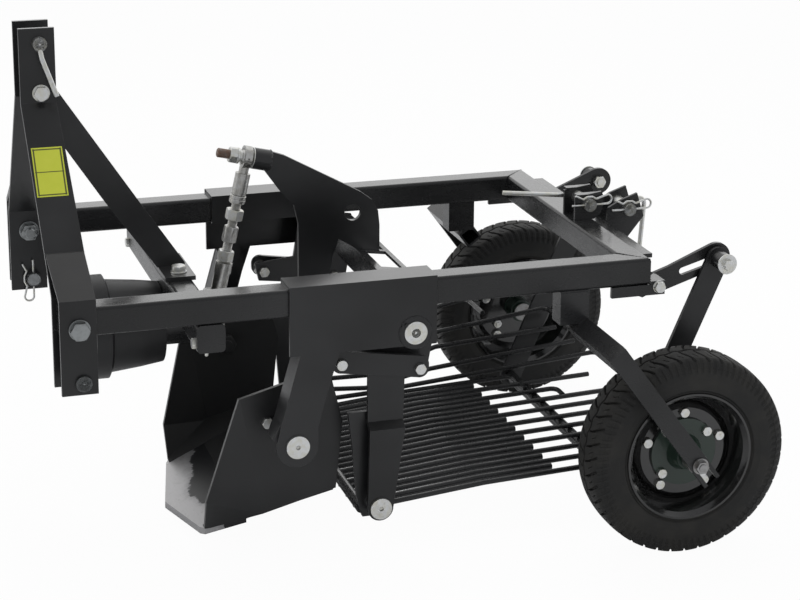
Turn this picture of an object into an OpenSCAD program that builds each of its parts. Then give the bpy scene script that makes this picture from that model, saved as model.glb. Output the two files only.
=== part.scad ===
// Tractor-mounted vibrating potato digger for a three-point hitch.
// Millimetres. The tractor is towards -X, the left side is -Y and Z = 0 is the ground.
// Places are written as [station, side, height]: station is the distance behind the front end of
// the frame rails, side is Y, and height is measured from the rails' underside.

/* [Frame] */
// Length of the frame rails, front end to rear face
rail_len = 1070; // [1040:5:1110]
// Width over the outer faces of the rails
frame_w = 672; // [660:2:690]
// Side of the square tube
tube_w = 50; // [48:1:52]
// Wall of the square tube
tube_wall = 4; // [3:0.5:5]
// Outer corner radius of the square tube
tube_round = 6; // [4:0.5:8]
// Height of the rails' underside above the ground
rail_h = 475; // [465:5:485]
// Station of the front cross tube
cross_s = 230; // [226:1:234]

/* [Hitch] */
// Thickness of the mast legs and hitch plates
mast_t = 8; // [6:1:9]
// Height of the mast's top above the rails' underside
mast_top = 474; // [468:1:480]
// Clear gap between the mast legs at the top link
mast_gap = 68; // [64:1:72]
// Diameter of the lower link pins, category 2
lower_pin_d = 28; // [22:0.5:28]
// Diameter of the top link pin, category 2
top_pin_d = 25; // [19:0.5:25.5]
// Station and height of the lower link pins
lower_pin = [33, -79];
// Station and height of the top link pin
top_pin = [20, 447];
// Station and height of the hitch bolts through the rails
hitch_bolt = [29, 16];
// Station and height of the bolt that joins the mast legs to the brace
mast_bolt = [20, 358];
// Thickness of the mast brace
brace_t = 10; // [8:1:12]

/* [Drive] */
// Height of the drive shaft's centre
shaft_h = -98; // [-100:1:-96]
// Diameter of the splined stub for the tractor's shaft
stub_d = 34.9; // [30:0.1:35]
// Stroke radius of the eccentric
throw = 8; // [6:0.5:9]
// Diameter of the eccentric disc
eccentric_d = 48; // [44:1:50]
// Outer diameter of the shield's rim
shield_d = 193; // [188:1:200]
// Station of the connecting rod's lower ring
ring_s = 330; // [328:1:332]
// Station and height of the connecting rod's upper eye
eye = [399, 205];

/* [Rocker] */
// Station and height of the rocker's pivot
pivot = [620, -46];
// Diameter of the rocker's pivot pins
pivot_d = 42; // [38:1:44]
// Thickness of the rocker's plates
rocker_t = 8; // [6:1:8]
// Station and height of the sieve's front pivot
low_pivot = [565, -384];
// Diameter of the sieve's front pivot pins
low_pin_d = 24; // [20:1:26]
// Thickness of the lever plate
lever_t = 10; // [8:1:12]

/* [Share] */
// Station and height of the pins that carry the share
share_pin = [404.5, -237];
// Half width over the share's cheeks
cheek_y = 244; // [240:1:246]
// Thickness of the share's cheeks
cheek_t = 8; // [6:1:8]
// Thickness of the cutting blade
blade_t = 12; // [10:1:13]
// Slope of the blade and the floor behind it, in degrees
blade_slope = 19; // [18:0.5:20]

/* [Sieve] */
// Diameter of the long sieve rods
rod_d = 10; // [8:0.5:11]
// Distance between the long sieve rods
rod_pitch = 50; // [48:0.5:50]
// Diameter of the short rods between them
short_d = 12; // [10:0.5:14]
// Station and height of the hangers' upper pins
hanger_top = [1222, 26];
// Station and height of the hangers' lower pins
hanger_low = [1038, -393.6];

/* [Wheels] */
// Station and height of the wheels' axles
axle = [1099, -286];
// Distance of the wheels' middle from the centre line
wheel_y = 430; // [425:1:448]
// Outer diameter of the tyres
tyre_d = 378; // [360:2:380]
// Width of the tyres
tyre_w = 90; // [80:1:92]
// Diameter over the rims' flanges
rim_d = 240; // [224:2:244]
// Number of tread blocks round a tyre
tread_count = 24; // [16:1:30]

/* [Hidden] */
$fn = 48;
front_s = -635;
half_w = frame_w / 2;
inner_w = half_w - tube_w;
run_gap = 0.05;
bolt_gap = 0.15;
washer_t = 3;
stud_m16 = 16;
stud_m20 = 20;
stud_m12 = 12;
stud_m10 = 10;
skirt_t = 6;
skirt_drop = 70;
side_in = inner_w - skirt_t - 3 - rocker_t;
side_out = side_in + rocker_t;
strap_in = 300;
arm_in = strap_in - rocker_t;
sieve_in = 280;
boss_d = pivot_d + 16;
rod_len = norm([eye[0] - ring_s, eye[1] - shaft_h]);
rod_tilt = atan2(eye[0] - ring_s, eye[1] - shaft_h);
leg_y = mast_gap / 2 + mast_t;
tip = [231, -461];
blade_end_s = 344;
floor_end_s = 499;
joggle = 16;

// Moves its children to a place given as station, side and height.
module at(p) {
    translate([front_s + p[0], p[1], rail_h + p[2]]) children();
}

// A flat side drawing, station by height, as a plate between two Y values.
module side_plate(y0, y1) {
    translate([front_s, max(y0, y1), rail_h])
        rotate([90, 0, 0])
            linear_extrude(height = abs(y1 - y0))
                children();
}

// A flat front drawing, Y by height, pushed along X between two stations.
module front_plate(s0, s1) {
    translate([front_s + s0, 0, rail_h])
        rotate([90, 0, 90])
            linear_extrude(height = s1 - s0)
                children();
}

// A flat plan drawing, station by Y, between two heights.
module plan_plate(h0, h1) {
    translate([front_s, 0, rail_h + h0])
        linear_extrude(height = h1 - h0)
            children();
}

// Keeps or mirrors its children for one side: -1 is left, 1 is right.
module on_side(side) {
    mirror([0, side < 0 ? 1 : 0, 0]) children();
}

// A round bar along Y between two Y values.
module cross_bar(p, d, y0, y1) {
    at([p[0], y0, p[1]])
        rotate([-90, 0, 0])
            cylinder(h = y1 - y0, d = d);
}

// A straight round bar between two places.
module round_bar(a, b, d) {
    v = b - a;
    at(a)
        rotate([0, acos(v[2] / norm(v)), atan2(v[1], v[0])])
            cylinder(h = norm(v), d = d, $fn = 24);
}

// Direction from one place to the next.
function way(a, b) = (b - a) / norm(b - a);

// Places round a bend of radius r at the corner c, between the directions u and v.
function bend(c, u, v, r) =
    let (
        turn = acos(u * v),
        w = (v - (v * u) * u) / norm(v - (v * u) * u),
        centre = c - u * r * tan(turn / 2) + w * r,
        steps = ceil(turn / 30)
    )
    [for (k = [0 : steps]) centre + r * (u * sin(k * turn / steps) - w * cos(k * turn / steps))];

// A line of places with every sharp corner rounded.
function rounded(p, r) = [
    for (i = [0 : len(p) - 1])
        let (
            inside = i > 0 && i < len(p) - 1,
            u = inside ? way(p[i - 1], p[i]) : [1, 0, 0],
            v = inside ? way(p[i], p[i + 1]) : [1, 0, 0]
        )
        each u * v > 0.92 ? [p[i]] : bend(p[i], u, v, r)
];

// All the space behind a place, for someone who looks along a direction.
module behind(p, v) {
    n = v / norm(v);
    at(p)
        rotate([0, acos(n[2]), atan2(n[1], n[0])])
            translate([-far_size / 2, -far_size / 2, -far_size])
                cube(far_size);
}
far_size = 1200;

// A round bar bent through a list of places, with a slightly thicker ball at each joint.
module bent_bar(p, d, r) {
    q = rounded(p, r);
    for (i = [0 : len(q) - 2]) {
        round_bar(q[i], q[i + 1], d);
        if (i > 0) {
            u = way(q[i - 1], q[i + 1]);
            at(q[i])
                rotate([0, acos(u[2]), atan2(u[1], u[0])])
                    sphere(d = d + joint_swell, $fn = 24);
        }
    }
}
joint_swell = 1;

// A square with rounded corners, centred.
module soft_square(w, h, r) {
    square([w - 2 * r, h], center = true);
    square([w, h - 2 * r], center = true);
    for (x = [-1, 1])
        for (y = [-1, 1])
            translate([x * (w / 2 - r), y * (h / 2 - r)])
                circle(r = r);
}

// The section of the square tube.
module tube_section() {
    difference() {
        soft_square(tube_w, tube_w, tube_round);
        soft_square(tube_w - 2 * tube_wall, tube_w - 2 * tube_wall, tube_round - tube_wall);
    }
}

// Bolt with its head outward at +Y, on the place p, reaching inward to y_in.
module bolt_y(p, d, flats, head_y, y_in) {
    cross_bar(p, d, y_in, head_y);
    at([p[0], head_y, p[1]])
        rotate([-90, 0, 0])
            cylinder(h = d * 0.62, d = flats / cos(30), $fn = 6);
}

// Nut on a bolt along Y.
module nut_y(p, d, flats, y0, y1) {
    difference() {
        at([p[0], y0, p[1]])
            rotate([-90, 0, 0])
                cylinder(h = y1 - y0, d = flats / cos(30), $fn = 6);
        cross_bar(p, d + 2 * bolt_gap, y0 - 1, y1 + 1);
    }
}

// Plain washer or spacer tube on a bolt along Y.
module ring_y(p, d_in, d_out, y0, y1) {
    difference() {
        cross_bar(p, d_out, y0, y1);
        cross_bar(p, d_in, y0 - 1, y1 + 1);
    }
}

// One edge of a line of even width, with a mitre at each corner.
function line_edge(path, w, side) = [
    for (i = [0 : len(path) - 1])
        let (
            a = max(i - 1, 0),
            b = min(i, len(path) - 2),
            u = way(path[a], path[a + 1]),
            v = way(path[b], path[b + 1]),
            m = (u + v) / norm(u + v)
        )
        path[i] + side * w / 2 / (m * u) * [-m[1], m[0]]
];

// A line of even width through flat places.
module stroke(path, w) {
    left = line_edge(path, w, 1);
    right = line_edge(path, w, -1);
    polygon(concat(left, [for (i = [len(path) - 1 : -1 : 0]) right[i]]));
}

// Spring clip: the pin's axis is the local X axis, the straight leg is pushed through it along Z.
module spring_clip(pin_d, wire) {
    over = pin_d / 2 + wire / 2 + 0.6;
    loop_r = 9;
    loop = [for (a = [180 : 30 : 390]) [loop_r + loop_r * cos(a), -36 + loop_r * sin(a)]];
    path = concat(
        [[0, over + 10]],
        loop,
        [[over - 3, -over], [over + 1, -6], [over + 1, 6], [over - 4, over - 2], [over + 3, over + 10]]
    );
    rotate([90, 0, 90])
        linear_extrude(height = wire, center = true)
            stroke(path, wire);
}

module rail(side) {
    difference() {
        on_side(side)
            front_plate(0, rail_len)
                translate([half_w - tube_w / 2, tube_w / 2])
                    tube_section();
        on_side(side)
            plan_plate(-1, tube_w + 1)
                polygon([
                    [rail_len, half_w], [rail_len + 1, half_w + 1], [rail_len + 1, inner_w - 2],
                    [rail_len - tube_w - 2, inner_w - 2]
                ]);
        cross_bar(hitch_bolt, stud_m20 + 2 * bolt_gap, -half_w - 1, half_w + 1);
    }
}

module left_rail() {
    color("#2b2d30") rail(-1);
}

module right_rail() {
    color("#2b2d30") rail(1);
}

module rear_crossmember() {
    color("#2b2d30")
        intersection() {
            translate([front_s + rail_len - tube_w / 2, half_w, rail_h + tube_w / 2])
                rotate([90, 0, 0])
                    linear_extrude(height = frame_w)
                        tube_section();
            plan_plate(-1, tube_w + 1)
                polygon([
                    [rail_len, -half_w], [rail_len, half_w],
                    [rail_len - tube_w, inner_w], [rail_len - tube_w, -inner_w]
                ]);
        }
}

module front_crossmember() {
    inside = tube_w - 2 * tube_wall;
    color("#2b2d30")
        difference() {
            translate([front_s + cross_s + tube_w / 2, half_w, rail_h - tube_w / 2])
                rotate([90, 0, 0])
                    linear_extrude(height = frame_w)
                        soft_square(tube_w, tube_w, tube_round + 2);
            translate([front_s + cross_s + tube_w / 2, half_w - tube_wall, rail_h - tube_w / 2])
                rotate([90, 0, 0])
                    linear_extrude(height = frame_w - 2 * tube_wall)
                        soft_square(inside, inside, tube_round);
            for (y = [-end_bolt_y, end_bolt_y])
                at([cross_s - 1, y, end_bolt_h])
                    rotate([0, 90, 0])
                        cylinder(h = tube_wall + 2, d = stud_m10 + 2 * bolt_gap);
            for (y = [-foot_bolt_y, foot_bolt_y])
                at([foot_bolt_s, y, -tube_w - 1])
                    cylinder(h = tube_w + 2, d = stud_m16 + 2 * bolt_gap);
        }
}
end_bolt_y = 318;
end_bolt_h = -36;
foot_bolt_y = 45;
foot_bolt_s = cross_s + 28;

// A folded plate of the mast, seen from the front, of even thickness inside the given line.
module mast_band(line, t) {
    last = len(line) - 1;
    inner = [for (i = [last : -1 : 0]) line[i] - t * band_shift(line, i)];
    polygon(concat(line, inner));
}

// Offset direction of a folded line at one of its points, stretched at the folds.
function band_shift(line, i) =
    let (
        a = line[max(i - 1, 0)],
        b = line[i],
        c = line[min(i + 1, len(line) - 1)],
        u = i == 0 ? (c - b) / norm(c - b) : (b - a) / norm(b - a),
        v = i == len(line) - 1 ? u : (c - b) / norm(c - b),
        n = [u[1], -u[0]] + [v[1], -v[0]]
    )
    n / (1 + u * v);

leg_line = [[inner_w, -103], [inner_w, 58], [leg_y, 340], [leg_y, mast_top]];

module mast_leg(side) {
    difference() {
        on_side(side)
            intersection() {
                front_plate(-20, 70)
                    mast_band(leg_line, mast_t);
                side_plate(0, half_w)
                    polygon([
                        [-8, -103], [61, -103], [61, 58], [47, 340], [47, mast_top],
                        [-16, mast_top], [-16, 340], [-8, 58]
                    ]);
            }
        cross_bar(hitch_bolt, stud_m20 + 2 * bolt_gap, -half_w, half_w);
        cross_bar(lower_pin, lower_pin_d + 2 * bolt_gap, -half_w, half_w);
        cross_bar(mast_bolt, stud_m16 + 2 * bolt_gap, -half_w, half_w);
        cross_bar(top_pin, top_pin_d + 2 * run_gap, -half_w, half_w);
    }
}

module left_mast_leg() {
    color("#33363a") mast_leg(-1);
}

module right_mast_leg() {
    color("#33363a") mast_leg(1);
}

module hitch_plate(side) {
    color("#33363a") difference() {
        on_side(side)
            intersection() {
                difference() {
                    front_plate(-20, 70)
                        mast_band([
                            [half_w + mast_t, -100], [half_w + mast_t, 67], [175, 152]
                        ], mast_t);
                    front_plate(-21, 71)
                        polygon([
                            [inner_w, -103], [inner_w, 58], [leg_y, 340], [0, 340], [0, -103]
                        ]);
                    front_plate(-21, 71)
                        translate([0, 120])
                            square([half_w, 60]);
                    plan_plate(-1, tube_w + 1)
                        translate([-30, 0])
                            square([120, half_w]);
                }
                side_plate(0, half_w + mast_t)
                    polygon([[-4, -100], [58, -100], [58, 67], [57, 120], [-9, 120], [-4, 67]]);
            }
        cross_bar(hitch_bolt, stud_m20 + 2 * bolt_gap, -half_w - 20, half_w + 20);
        cross_bar(lower_pin, lower_pin_d + 2 * bolt_gap, -half_w - 20, half_w + 20);
    }
}

module hitch_plates() {
    for (side = [-1, 1])
        hitch_plate(side);
}

module hitch_bolts() {
    head_y = half_w + mast_t + washer_t;
    leg_in = inner_w - mast_t;
    color("#b9bcc0")
        for (side = [-1, 1])
            on_side(side) {
                bolt_y(hitch_bolt, stud_m20, 30, head_y, leg_in - 26);
                ring_y(hitch_bolt, stud_m20 + 2 * bolt_gap, 37, half_w + mast_t, head_y);
                ring_y(hitch_bolt, stud_m20 + 2 * bolt_gap, 38, leg_in - washer_t, leg_in);
                nut_y(hitch_bolt, stud_m20, 30, leg_in - washer_t - 16, leg_in - washer_t);
            }
}

module lower_link_pins() {
    clip_y = inner_w - mast_t - 9;
    color("#c2c4c6")
        for (side = [-1, 1])
            on_side(side)
                difference() {
                    cross_bar(lower_pin, lower_pin_d, inner_w - mast_t - 20, half_w + mast_t + 8);
                    at([lower_pin[0], clip_y, lower_pin[1] - 20])
                        cylinder(h = 40, d = clip_wire * 1.6);
                }
}
clip_wire = 4;

module lower_clip_pair() {
    color("#d4d6d8")
        for (side = [-1, 1])
            on_side(side)
                at([lower_pin[0], inner_w - mast_t - 9, lower_pin[1]])
                    rotate([0, 0, 90])
                        spring_clip(lower_pin_d, clip_wire);
}

module mast_cross_bolt() {
    plate_y = leg_y + washer_t;
    bore = stud_m16 + 2 * bolt_gap;
    color("#b9bcc0") {
        on_side(-1)
            bolt_y(mast_bolt, stud_m16, 24, plate_y, -plate_y - 20);
        ring_y(mast_bolt, bore, 31, -plate_y, -leg_y);
        ring_y(mast_bolt, bore, 31, leg_y, plate_y);
        nut_y(mast_bolt, stud_m16, 24, plate_y, plate_y + 13);
    }
}

module mast_spacer_pair() {
    color("#33363a")
        for (side = [-1, 1])
            on_side(side)
                ring_y(mast_bolt, stud_m16 + 1, 30, brace_t / 2, mast_gap / 2);
}

module mast_brace() {
    lug_r = 30;
    foot_t = 8;
    color("#2b2d30")
        difference() {
            union() {
                side_plate(-brace_t / 2, brace_t / 2) {
                    polygon([
                        [30, 389], [197, 135], [278, 14], [278, foot_t], [226, foot_t],
                        [133, 140], [67, 241], [5, 336]
                    ]);
                    translate(mast_bolt)
                        circle(r = lug_r);
                }
                plan_plate(0, foot_t)
                    translate([cross_s - 2, -75])
                        square([tube_w + 6, 150]);
            }
            cross_bar(mast_bolt, stud_m16 + 2 * bolt_gap, -brace_t, brace_t);
            for (y = [-foot_bolt_y, foot_bolt_y])
                at([foot_bolt_s, y, -1])
                    cylinder(h = foot_t + 2, d = stud_m16 + 2 * bolt_gap);
        }
}

module foot_bolts() {
    top = 8 + washer_t;
    bottom = -tube_w - washer_t;
    flats = 24 / cos(30);
    color("#c2c4c6")
        for (y = [-foot_bolt_y, foot_bolt_y]) {
            at([foot_bolt_s, y, bottom - 16])
                cylinder(h = top - bottom + 16, d = stud_m16);
            at([foot_bolt_s, y, top])
                cylinder(h = 10, d = flats, $fn = 6);
            for (h = [8, bottom])
                difference() {
                    at([foot_bolt_s, y, h])
                        cylinder(h = washer_t, d = 30);
                    at([foot_bolt_s, y, h - 1])
                        cylinder(h = washer_t + 2, d = stud_m16 + 2 * bolt_gap);
                }
            difference() {
                at([foot_bolt_s, y, bottom - 13])
                    cylinder(h = 13, d = flats, $fn = 6);
                at([foot_bolt_s, y, bottom - 14])
                    cylinder(h = 15, d = stud_m16 + 2 * bolt_gap);
            }
        }
}

module end_fittings() {
    color("#b9bcc0")
        for (y = [-end_bolt_y, end_bolt_y]) {
            at([cross_s - 6, y, end_bolt_h])
                rotate([0, 90, 0])
                    cylinder(h = 6, d = 17 / cos(30), $fn = 6);
            at([cross_s - 6, y, end_bolt_h])
                rotate([0, 90, 0])
                    cylinder(h = 20, d = stud_m10);
            at([cross_s + 20, y, -tube_w - 11])
                cylinder(h = 11, d = 9);
        }
}

module sticker() {
    slope = atan2(340 - 58, inner_w - leg_y);
    middle = [18, 237];
    along = (middle[1] - 58) / sin(slope);
    side_y = inner_w - along * cos(slope);
    color("#c9d92b")
        at([middle[0], -side_y, middle[1]])
            rotate([slope, 0, 0])
                translate([-27, -48, 0])
                    cube([54, 96, 0.4]);
}

module top_pin_bar() {
    near = -leg_y - 14;
    color("#c2c4c6") {
        difference() {
            cross_bar(top_pin, top_pin_d, near, leg_y + 20);
            at([top_pin[0], leg_y + 10, top_pin[1] - 20])
                cylinder(h = 40, d = clip_wire * 1.6);
        }
        bent_bar([
            [top_pin[0], near + 5, top_pin[1] - top_pin_d / 2 + 2],
            [top_pin[0] + 2, near - 4, top_pin[1] - 26],
            [top_pin[0] + 25, near - 10, top_pin[1] - 92]
        ], 9, 14);
    }
}

module top_clip() {
    color("#d4d6d8")
        at([top_pin[0], leg_y + 10, top_pin[1]])
            rotate([0, 0, -90])
                spring_clip(top_pin_d, clip_wire);
}

// The saddle over the rail, with the hanging leg that carries the share.
module side_bracket(side) {
    out = half_w + skirt_t;
    start = 392;
    end = 660;
    leg_r = 38;
    flange_w = 46;
    top = tube_w + skirt_t;
    color("#2b2d30")
        on_side(side)
            difference() {
                union() {
                    front_plate(start, end)
                        polygon([
                            [out, top], [out, -skirt_drop], [half_w, -skirt_drop],
                            [half_w, tube_w], [inner_w, tube_w], [inner_w, 0],
                            [inner_w - skirt_t, 0], [inner_w - skirt_t, top]
                        ]);
                    side_plate(half_w, out) {
                        polygon([
                            [411, -skirt_drop + 2], [376, -194], [368, -226], share_pin,
                            [442, -230], [442, -205], [465, -121], [483, -skirt_drop + 2]
                        ]);
                        translate(share_pin)
                            circle(r = leg_r);
                    }
                    intersection() {
                        side_plate(half_w - flange_w, half_w)
                            polygon([
                                [411, -skirt_drop], [376, -194], [361, -222], [366, -226],
                                [382, -194], [417, -skirt_drop]
                            ]);
                        front_plate(350, 430)
                            union() {
                                translate([half_w - flange_w, -200])
                                    square([flange_w + 1, 132]);
                                translate([half_w - flange_w + 26, -226])
                                    square([flange_w, 60]);
                                translate([half_w - flange_w + 26, -200])
                                    circle(r = 26);
                            }
                    }
                    cross_bar(pivot, boss_d, half_w - tube_w + 6, out + 2);
                    at([pivot[0] - 18.5, out + 2, pivot[1] + 17])
                        rotate([-90, 0, 0])
                            cylinder(h = 6, d = 6);
                }
                cross_bar(pivot, pivot_d + 2 * run_gap, inner_w - 10, out + 10);
                cross_bar(share_pin, stud_share + 2 * bolt_gap, inner_w, out + 10);
            }
}
stud_share = 25;

module side_brackets() {
    for (side = [-1, 1])
        side_bracket(side);
}

module share_pivot_pins() {
    out = half_w + skirt_t;
    color("#b9bcc0")
        for (side = [-1, 1])
            on_side(side) {
                cross_bar(share_pin, stud_share, cheek_y - cheek_t - 24, out);
                cross_bar(share_pin, 42, out, out + 6);
                nut_y(share_pin, stud_share, 36, cheek_y - cheek_t - 18, cheek_y - cheek_t);
            }
}

module share_bush_pair() {
    color("#33363a")
        for (side = [-1, 1])
            on_side(side)
                ring_y(share_pin, stud_share + 2 * bolt_gap, 40, cheek_y, half_w);
}

// Height of the blade's and floor's upper face at a station.
function floor_h(s) = tip[1] + (s - tip[0]) * tan(blade_slope);

// A sloping sheet below the share's upper face, cut to a plan drawing.
module floor_sheet(t, drop) {
    intersection() {
        side_plate(-half_w, half_w)
            polygon([
                [200, floor_h(200) - drop], [520, floor_h(520) - drop],
                [520, floor_h(520) - drop - t / cos(blade_slope)],
                [200, floor_h(200) - drop - t / cos(blade_slope)]
            ]);
        plan_plate(-520, -300)
            children();
    }
}

module share_blade() {
    color("#9a9c9e")
        floor_sheet(blade_t, 0)
            polygon([
                [tip[0], 0], [265, 160], [272, 172], [blade_end_s, 196],
                [blade_end_s, -196], [272, -172], [265, -160]
            ]);
}

module trough_floor() {
    color("#2b2d30")
        floor_sheet(5, 0)
            polygon([
                [blade_end_s, 196], [364, 199], [floor_end_s, 232],
                [floor_end_s, -232], [364, -199], [blade_end_s, -196]
            ]);
}

// All the space inside the slanted face through three places, set in by some distance.
module inside_face(a, b, c, inset) {
    n0 = cross(b - a, c - a);
    n = n0 / norm(n0) * (n0[1] < 0 ? -1 : 1);
    behind(a - inset * n, n);
}

module share_cheek(side) {
    p2 = [270, 204, -386];
    p3 = [324, cheek_y, -178];
    b2 = [364, cheek_y, -400];
    c1 = [272, 176, -446];
    q = [364, 203, -415];
    p5 = [floor_end_s, cheek_y, -366];
    sunk = 1;
    off = 1.5;
    color("#2b2d30")
        on_side(side)
            difference() {
                intersection() {
                    side_plate(100, cheek_y)
                        polygon([
                            [p3[0] - off, p3[2] + off], [399, -156], [487, -133], [494, -154],
                            [514, -237], [p5[0] + off, p5[2] - 2 * off], [p5[0] + off, -430],
                            [c1[0] - off, -500], [c1[0] - off, c1[2] + off],
                            [p2[0] - off, p2[2] + 2 * off]
                        ]);
                    inside_face(p3, b2, p2, 0);
                    inside_face(p2, c1, b2, 0);
                    inside_face(b2, q, p5, 0);
                }
                intersection() {
                    side_plate(90, cheek_y - cheek_t)
                        translate([200, -520])
                            square([360, 420]);
                    inside_face(p3, b2, p2, cheek_t);
                    inside_face(p2, c1, b2, cheek_t);
                    inside_face(b2, q, p5, cheek_t);
                }
                side_plate(80, half_w)
                    polygon([
                        [200, floor_h(200)], [blade_end_s, floor_h(blade_end_s)],
                        [blade_end_s, floor_h(blade_end_s) - sunk],
                        [560, floor_h(560) - sunk], [560, -560], [200, -560]
                    ]);
                cross_bar(share_pin, stud_share + 2 * bolt_gap, 200, half_w);
                cross_bar(cheek_bolt, stud_m12 + 2 * bolt_gap, 200, half_w);
            }
}
cheek_bolt = [374, -225];

module share_cheeks() {
    for (side = [-1, 1])
        share_cheek(side);
}

module share_bolts() {
    color("#b9bcc0")
        for (side = [-1, 1])
            on_side(side) {
                bolt_y(cheek_bolt, stud_m12, 19, cheek_y, cheek_y - cheek_t - 14);
                nut_y(cheek_bolt, stud_m12, 19, cheek_y - cheek_t - 10, cheek_y - cheek_t);
            }
}

module drive_housing() {
    color("#2b2d30")
        difference() {
            union() {
                at([cross_s - 2, 0, shaft_h])
                    rotate([0, 90, 0])
                        cylinder(h = 80, d = 90);
                plan_plate(shaft_h, -tube_w)
                    translate([cross_s + 2, -44])
                        square([tube_w - 2, 88]);
                plan_plate(-tube_w - 6, -tube_w)
                    translate([cross_s, -84])
                        square([tube_w, 168]);
            }
            at([cross_s - 4, 0, shaft_h])
                rotate([0, 90, 0])
                    cylinder(h = 90, d = 40 + 2 * run_gap);
            for (y = [-foot_bolt_y, foot_bolt_y])
                at([foot_bolt_s, y, -tube_w - 40])
                    cylinder(h = 41, d = 36);
        }
}

// Bell-shaped shield, open towards the tractor.
module pto_shield() {
    rim_s = 97;
    rim_w = 28;
    back_s = cross_s - 2;
    wall = 4;
    color("#1f2022")
        at([rim_s, 0, shaft_h])
            rotate([0, 90, 0])
                rotate_extrude($fn = 72)
                    polygon([
                        [shield_d / 2, 0], [shield_d / 2, rim_w], [shield_d / 2 - 10, rim_w + 5],
                        [81, 88], [75, back_s - rim_s], [24, back_s - rim_s],
                        [24, back_s - rim_s - wall], [75 - wall, back_s - rim_s - wall],
                        [81 - wall, 87], [shield_d / 2 - 10 - wall, rim_w + 2],
                        [shield_d / 2 - wall, rim_w - 3], [shield_d / 2 - wall, 0]
                    ]);
}

module drive_shaft() {
    stub_s = cross_s - 106;
    shoulder_s = cross_s - 8;
    spline_len = 66;
    spline_gap = 7;
    spline_deep = 2.6;
    lock_s = stub_s + 34;
    lock_w = 7;
    color("#8d8f91") {
        difference() {
            at([stub_s, 0, shaft_h])
                rotate([0, 90, 0])
                    cylinder(h = shoulder_s - stub_s, d = stub_d);
            for (a = [0 : 60 : 300])
                at([stub_s - 1, 0, shaft_h])
                    rotate([a, 0, 0])
                        translate([0, -spline_gap / 2, stub_d / 2 - spline_deep])
                            cube([spline_len + 1, spline_gap, 10]);
            at([lock_s, 0, shaft_h])
                rotate([0, 90, 0])
                    difference() {
                        cylinder(h = lock_w, d = stub_d + 4);
                        translate([0, 0, -1])
                            cylinder(h = lock_w + 2, d = stub_d - 2 * spline_deep);
                    }
        }
        at([shoulder_s, 0, shaft_h])
            rotate([0, 90, 0])
                cylinder(h = ring_s - shoulder_s - 14, d = 40);
        at([ring_s - 19, 0, shaft_h])
            rotate([0, 90, 0])
                cylinder(h = 5, d = 96);
        at([ring_s - 14, throw, shaft_h])
            rotate([0, 90, 0])
                cylinder(h = 28, d = eccentric_d);
        at([ring_s + 14, throw, shaft_h])
            rotate([0, 90, 0])
                cylinder(h = 4, d = eccentric_d + 6);
    }
}

// Places its children in the connecting rod's own frame: down the rod is local -Z.
module on_rod() {
    at([eye[0], 0, eye[1]])
        rotate([0, rod_tilt, 0])
            children();
}

// A round piece of the rod between two distances below the eye.
module rod_piece(d0, d1, dia, sides) {
    translate([0, 0, -d1])
        cylinder(h = d1 - d0, d = dia, $fn = sides);
}

module rod_eye() {
    color("#b4b8ba")
        on_rod()
            difference() {
                union() {
                    rotate([0, 90, 0])
                        translate([0, 0, -eye_w / 2])
                            cylinder(h = eye_w, d = 42);
                    rod_piece(16, 34, 18, 48);
                    rod_piece(31, 72, 28, 48);
                }
                rotate([0, 90, 0])
                    translate([0, 0, -20])
                        cylinder(h = 40, d = 30);
                translate([0, 0, -74])
                    cylinder(h = 40, d = rod_screw_d + 2 * bolt_gap);
                rotate([90, 0, 0])
                    cylinder(h = 60, d = oil_hole_d, center = true);
            }
}
rod_screw_d = 18;
eye_w = 14;
oil_hole_d = 4;
ball_w = 20;

module rod_ball() {
    color("#8f9294")
        on_rod()
            difference() {
                intersection() {
                    sphere(d = 30 - 2 * run_gap);
                    cube([ball_w, 40, 40], center = true);
                }
                rotate([0, 90, 0])
                    cylinder(h = 40, d = stud_d + 2 * bolt_gap, center = true);
            }
}
stud_d = 18;

module turnbuckle() {
    color("#c6c9cb")
        on_rod() {
            rod_piece(44, 134, rod_screw_d, 48);
            rod_piece(134, 164, 25, 6);
            rod_piece(164, 245, rod_screw_d, 48);
        }
}

module rod_nuts() {
    color("#aeb4ba")
        on_rod() {
            rod_nut(73, 89, 30, 48);
            rod_nut(101, 121, 30 / cos(30), 6);
            rod_nut(181, 201, 27 / cos(30), 6);
        }
}

// A nut or collar on the rod's screw.
module rod_nut(d0, d1, dia, sides) {
    difference() {
        rod_piece(d0, d1, dia, sides);
        rod_piece(d0 - 1, d1 + 1, rod_screw_d + 2 * bolt_gap, 48);
    }
}

module rod_lower_end() {
    ring_bore = eccentric_d + 4 * throw + 6;
    ring_d = ring_bore + 22;
    color("#b4b8ba")
        difference() {
            union() {
                on_rod() {
                    rod_piece(204, 224, 32, 48);
                    rod_piece(223, rod_len - ring_d / 2 + 6, 29, 48);
                }
                at([ring_s - 11, 0, shaft_h])
                    rotate([0, 90, 0])
                        cylinder(h = 22, d = ring_d);
            }
            on_rod()
                rod_piece(200, 247, rod_screw_d + 2 * bolt_gap, 48);
            at([ring_s - 20, 0, shaft_h])
                rotate([0, 90, 0])
                    cylinder(h = 40, d = ring_bore);
        }
}

// Places its children on the lever's stud, which stands square to the rod, behind the eye.
module on_stud(behind_eye) {
    on_rod()
        translate([behind_eye, 0, 0])
            rotate([0, 90, 0])
                children();
}
stud_front = -57;
boss_s = 12;
boss_w = 40;
boss_len = 32;

module stud_bar() {
    color("#8a6f5a")
        on_stud(stud_front)
            cylinder(h = boss_s - stud_front, d = stud_d);
}

module stud_nuts() {
    color("#b4b8ba") {
        stud_ring(-34, -19, 27 / cos(30), 6);
        stud_ring(-19, -15, 30, 48);
        stud_ring(-15, -ball_w / 2, 22, 48);
        stud_ring(ball_w / 2, boss_s, boss_w, 48);
    }
}

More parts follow.
